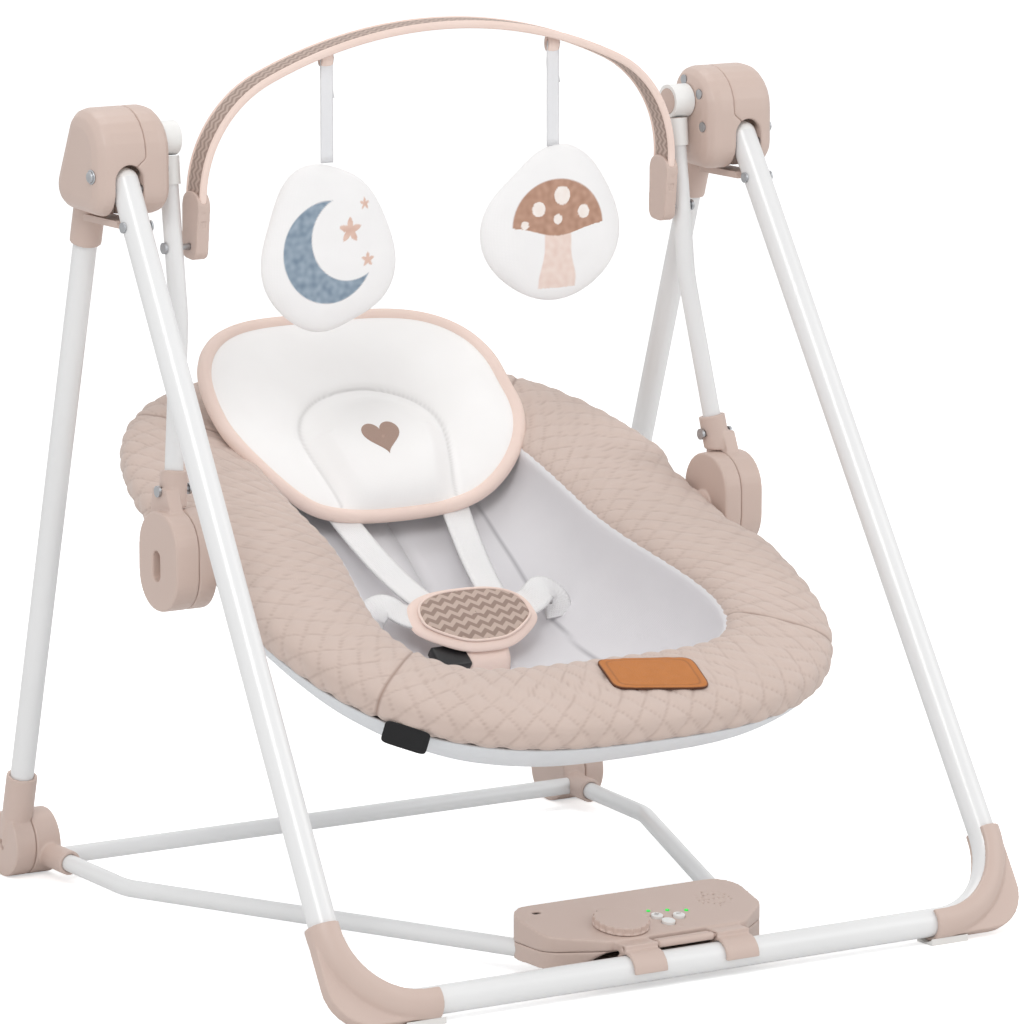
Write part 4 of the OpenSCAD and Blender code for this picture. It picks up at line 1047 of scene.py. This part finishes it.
band = band_sweep("toy_bar_sleeve", oval(0, BAND_WIDE / 2 - 1.3, BAND_THICK / 2 + 0.7, 40, 0.6),
                  band_chevron)
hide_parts("toy_bar_band")
for side, word in ((-1, "front"), (1, "back")):
    band_sweep(f"toy_bar_binding_{word}",
               oval(side * (BAND_WIDE / 2 - 1.6), 1.6, BAND_THICK / 2 + 1.0, 16, 1.0), peach_binding)


for side, word in SIDES:
    block(f"toy_bar_clip_core_{word}", (BAND_THICK + 0.2, BAND_WIDE + 0.3, BAND_IN_CLIP),
          on_bar(side * band_half, 0, BAND_SPRING - 26.1 + BAND_IN_CLIP / 2),
          Matrix.Rotation(BAND_LEAN, 4, "X"), 0.3, shell_abs, "toy_bar", "toy_bar_clips")


def toy_outline(half_wide, half_high, low, waves):
    """A soft rounded outline about the middle of the toy."""
    def outline(turn):
        swell = 1 + sum(size * math.cos(n * turn + phase) for n, size, phase in waves)
        return half_wide * swell * math.cos(turn), low + half_high * swell * math.sin(turn)
    return outline


def star(x, y, cx, cy, size):
    turn, far = math.atan2(x - cx, y - cy), math.hypot(x - cx, y - cy)
    point = abs((turn / (2 * math.pi) * 5) % 1 - 0.5) * 2
    return size * (0.42 + 0.58 * point) - far


def moon_print(x, y):
    """A watercolour crescent with three stars."""
    tint = noise.noise(Vector((x / 5, y / 5, 0))) * 0.5 + 0.5
    crescent = min(41 - math.hypot(x + 3, y + 68), math.hypot(x - 15, y + 58) - 33)
    if crescent > 0:
        return "#6d8296", "#a9b8c6", tint, smooth_step(crescent / 1.2)
    near = max(star(x, y, 16, -52, 11), star(x, y, 32, -76, 6.5), star(x, y, 30, -32, 5.5))
    return "#d9b3a2", "#e9cbbd", tint, smooth_step(near / 0.9)


def mushroom_print(x, y):
    """A watercolour toadstool with pale spots."""
    tint = noise.noise(Vector((x / 5, y / 5, 4))) * 0.5 + 0.5
    cap = 1 - math.hypot(x / 43, (y + 62) / 38) if y > -66 - 4 * math.cos(x / 14) else -1
    spots = max(r - math.hypot(x - cx, y - cy) for cx, cy, r in
                ((-18, -48, 6), (4, -38, 7.5), (24, -52, 5.5), (0, -57, 4), (-31, -60, 3.5)))
    if cap > 0:
        if spots > 0:
            return "#f3e7df", "#fbf4ef", tint, smooth_step(cap * 30)
        return "#a9806a", "#c9a18c", tint, smooth_step(cap * 30)
    stem = 13 + 5 * smooth_step((-y - 80) / 26) - abs(x) if -112 < y <= -62 else -1
    return "#e9cfc4", "#f4e3da", tint, smooth_step(stem / 1.5)


def toy(word, outline, middle, picture):
    """A flat plush cut-out with a printed picture, hung on a ribbon."""
    sway = joint_at[f"{word}_toy_sway"]
    fall = TOY_RIBBON

    def place(x, y, z):
        return Vector((sway.x + x * MM, sway.y - (z + 0.2) * MM, sway.z + 0.004 - (fall - y) * MM))

    body, _, flat = pad(f"toy_{word}_plush", outline, place, 9, 8, printed_plush, rings=84, spokes=300,
                        crown=5.0, middle=middle,
                        shape=lambda x, y, s: 0.7 * noise.noise(Vector((x / 17, y / 17, s))))
    colours = []
    for x, y, side in flat:
        first, second, tint, cover = picture(x, y)
        a, b = linear(first), linear(second)
        colours.append((*[p + (q - p) * tint for p, q in zip(a[:3], b[:3])],
                        cover if side > 0 else 0.0))
    paint(body, "print", colours)
    belongs(body, f"{word}_toy", f"toy_{word}", stands_for=True)
    hang = Vector((sway.x, sway.y, sway.z))
    front = Vector((0, -1, 0))
    ribbon = [hang + Vector((0, -0.0012, 0.003 - ((fall - 2) * k / 12) * MM)) for k in range(13)]
    strap(f"toy_{word}_ribbon", ribbon, 11 * MM, 0.9 * MM, white_satin, f"{word}_toy", front,
          f"toy_{word}")
    tail = [hang + Vector((0.0035, 0.0016 + 0.004 * math.sin(math.pi * k / 10),
                           0.0012 - 0.032 * k / 10)) for k in range(11)]
    strap(f"toy_{word}_ribbon_tail", tail, 10 * MM, 0.9 * MM, white_satin, f"{word}_toy", front,
          f"toy_{word}")
    tab = [hang + Vector((0, 0.003 * math.cos(2 * math.pi * k / 24 + math.pi / 2),
                          0.001 + 0.0062 * math.sin(2 * math.pi * k / 24 + math.pi / 2)))
           for k in range(24)]
    loop = piping(f"toy_{word}_loop", tab, 1.0 * MM, peach_binding, closed=True, sides=8,
                  up=[Vector((1, 0, 0))] * 24, flat=5.5)
    belongs(loop, "toy_bar", "toy_bar_band")


TOY_RIBBON = 86.0
toy("left", toy_outline(58, 67, -67, ((2, 0.03, 0.6), (3, 0.05, 0.9), (5, 0.025, 2.0))), (0, -67),
    moon_print)
toy("right", toy_outline(62, 62, -63, ((2, 0.03, -0.7), (3, 0.05, 2.3), (4, 0.03, 0.4))), (0, -63),
    mushroom_print)

# ---- marks on the buttons ----


def on_top(node):
    low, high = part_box(node)
    return Vector(((low.x + high.x) / 2, (low.y + high.y) / 2, high.z))


for node, bars in (("plus_button", ((4.2, 0.9), (0.9, 4.2))), ("minus_button", ((4.2, 0.9),))):
    for k, (wide, deep) in enumerate(bars):
        block(f"{node}_mark_{k + 1}", (wide, deep, 0.5), on_top(node), LEVEL, 0.15, mark_ink,
              body_of(frame["nodes"][node])[0], node)

# ---- everything that keeps its moulded or machined shape ----

def both(*names):
    return tuple(f"{name}_{word}" for name in names for _, word in SIDES)


finishes = {
    tube_enamel: ("front_crossbar", "rear_crossbar", "seat_ring",
                  *both("rear_leg", "front_leg", "base_tube", "swing_arm")),
    shell_abs: ("fold_catches", "case_top", "case_bottom", "battery_door", "mode_dial", "latch_bar",
                "knuckle_caps", "toy_bar_clips",
                *both("housing_outer", "housing_inner", "rear_hub_outer", "rear_hub_inner",
                      "corner_cover", "seat_hub_outer", "seat_hub_inner")),
    white_abs: ("leg_end_caps", "plus_button", "minus_button", "music_button",
                *both("arm_knuckle")),
    white_rubber: ("corner_pads",),
    bush_nylon: ("pivot_bushes",),
    zinc: ("frame_hinge_pins", "frame_screws", "leg_rivets", "pivot_shafts", "swing_bolts"),
    dark_steel: ("drive_magnet", "batteries"),
    copper_wire: ("drive_coil",),
    board_mask: ("circuit_board",),
    black_abs: ("speaker", "power_socket"),
    green_lens: ("status_lights",),
    band_cloth: ("toy_bar_band",),
    white_plush: ("toy_left", "toy_right"),
}
for material, names in finishes.items():
    for name in names:
        data = frame["nodes"][name].data
        data.materials.clear()
        data.materials.append(material)


def soften(name, step, passes):
    """Rounds a moulding's edges a little, as a mould leaves them; step is in millimetres."""
    node = frame["nodes"][name]
    cells = node.modifiers.new("skin", "REMESH")
    cells.mode = "VOXEL"
    cells.voxel_size = step * MM
    cells.use_smooth_shade = True
    ease = node.modifiers.new("ease", "SMOOTH")
    ease.factor = 0.5
    ease.iterations = passes


for side in ("left", "right"):
    for name, step, passes in (("housing_outer", 1.0, 9), ("housing_inner", 1.0, 9),
                               ("seat_hub_outer", 0.8, 9), ("seat_hub_inner", 0.9, 8),
                               ("rear_hub_outer", 0.9, 6), ("rear_hub_inner", 0.9, 6),
                               ("corner_cover", 0.9, 8)):
        soften(f"{name}_{side}", step, passes)
for name, step, passes in (("case_top", 0.9, 5), ("case_bottom", 1.0, 4), ("mode_dial", 0.6, 3),
                           ("toy_bar_clips", 0.8, 5), ("latch_bar", 0.7, 3)):
    soften(name, step, passes)

# ---- floor, light and camera ----

FLOOR_GLOW = 0.5
bpy.ops.mesh.primitive_plane_add(size=14, location=(0, 0, 0))
floor = bpy.context.active_object
floor.name = "studio_floor"
floor_paint, floor_tree, floor_main = finish_of("studio_floor_paint", "#f7f7f7", 0.9)
floor_rays = add(floor_tree, "ShaderNodeLightPath")
floor_glow = add(floor_tree, "ShaderNodeMath", {"operation": "MULTIPLY", 1: FLOOR_GLOW},
                 {0: floor_rays.outputs["Is Camera Ray"]})
floor_main.inputs["Emission Color"].default_value = (1, 1, 1, 1)
floor_tree.links.new(floor_glow.outputs["Value"], floor_main.inputs["Emission Strength"])
floor.data.materials.append(floor_paint)

world = bpy.data.worlds.new("studio") if bpy.context.scene.world is None else bpy.context.scene.world
bpy.context.scene.world = world
world.use_nodes = True
tree = world.node_tree
tree.nodes.clear()
rays = add(tree, "ShaderNodeLightPath")
seen = add(tree, "ShaderNodeMath", {"operation": "MAXIMUM"},
           {0: rays.outputs["Is Camera Ray"], 1: rays.outputs["Is Glossy Ray"]})
seen_too = add(tree, "ShaderNodeMath", {"operation": "MAXIMUM"},
               {0: seen.outputs["Value"], 1: rays.outputs["Is Transmission Ray"]})
ambient = add(tree, "ShaderNodeBackground", {"Color": (1, 1, 1, 1), "Strength": 0.62})
white = add(tree, "ShaderNodeBackground", {"Color": (1, 1, 1, 1), "Strength": 1.0})
choice = add(tree, "ShaderNodeMixShader", {}, {0: seen_too.outputs["Value"],
                                               1: ambient.outputs["Background"],
                                               2: white.outputs["Background"]})
add(tree, "ShaderNodeOutputWorld", {}, {"Surface": choice.outputs["Shader"]})


def lamp(name, place, aim, size, power_watts):
    light = bpy.data.lights.new(name, "AREA")
    light.shape = "DISK"
    light.size = size
    light.energy = power_watts
    holder = bpy.data.objects.new(name, light)
    bpy.context.scene.collection.objects.link(holder)
    holder.location = place
    holder.rotation_euler = (Vector(aim) - Vector(place)).to_track_quat("-Z", "Y").to_euler()


lamp("key", (-2.2, -2.4, 3.2), (0, 0, 0.35), 1.8, 52)
lamp("fill", (2.6, -2.0, 1.8), (0, 0, 0.3), 2.2, 18)
lamp("top", (0.2, 0.8, 3.4), (0, 0, 0.3), 2.0, 22)

AZIMUTH = -32.03
ELEVATION = 10.24
camera = bpy.data.cameras.new("camera")
camera.lens = 226.0
camera.sensor_width = 36.0
camera.clip_end = 50.0
viewer = bpy.data.objects.new("camera", camera)
bpy.context.scene.collection.objects.link(viewer)
viewer.location = (-2.6176, -4.2289, 1.2140)
viewer.rotation_euler = (math.radians(90 - ELEVATION), 0, math.radians(AZIMUTH))
bpy.context.scene.camera = viewer
bpy.context.scene.view_settings.view_transform = "Standard"
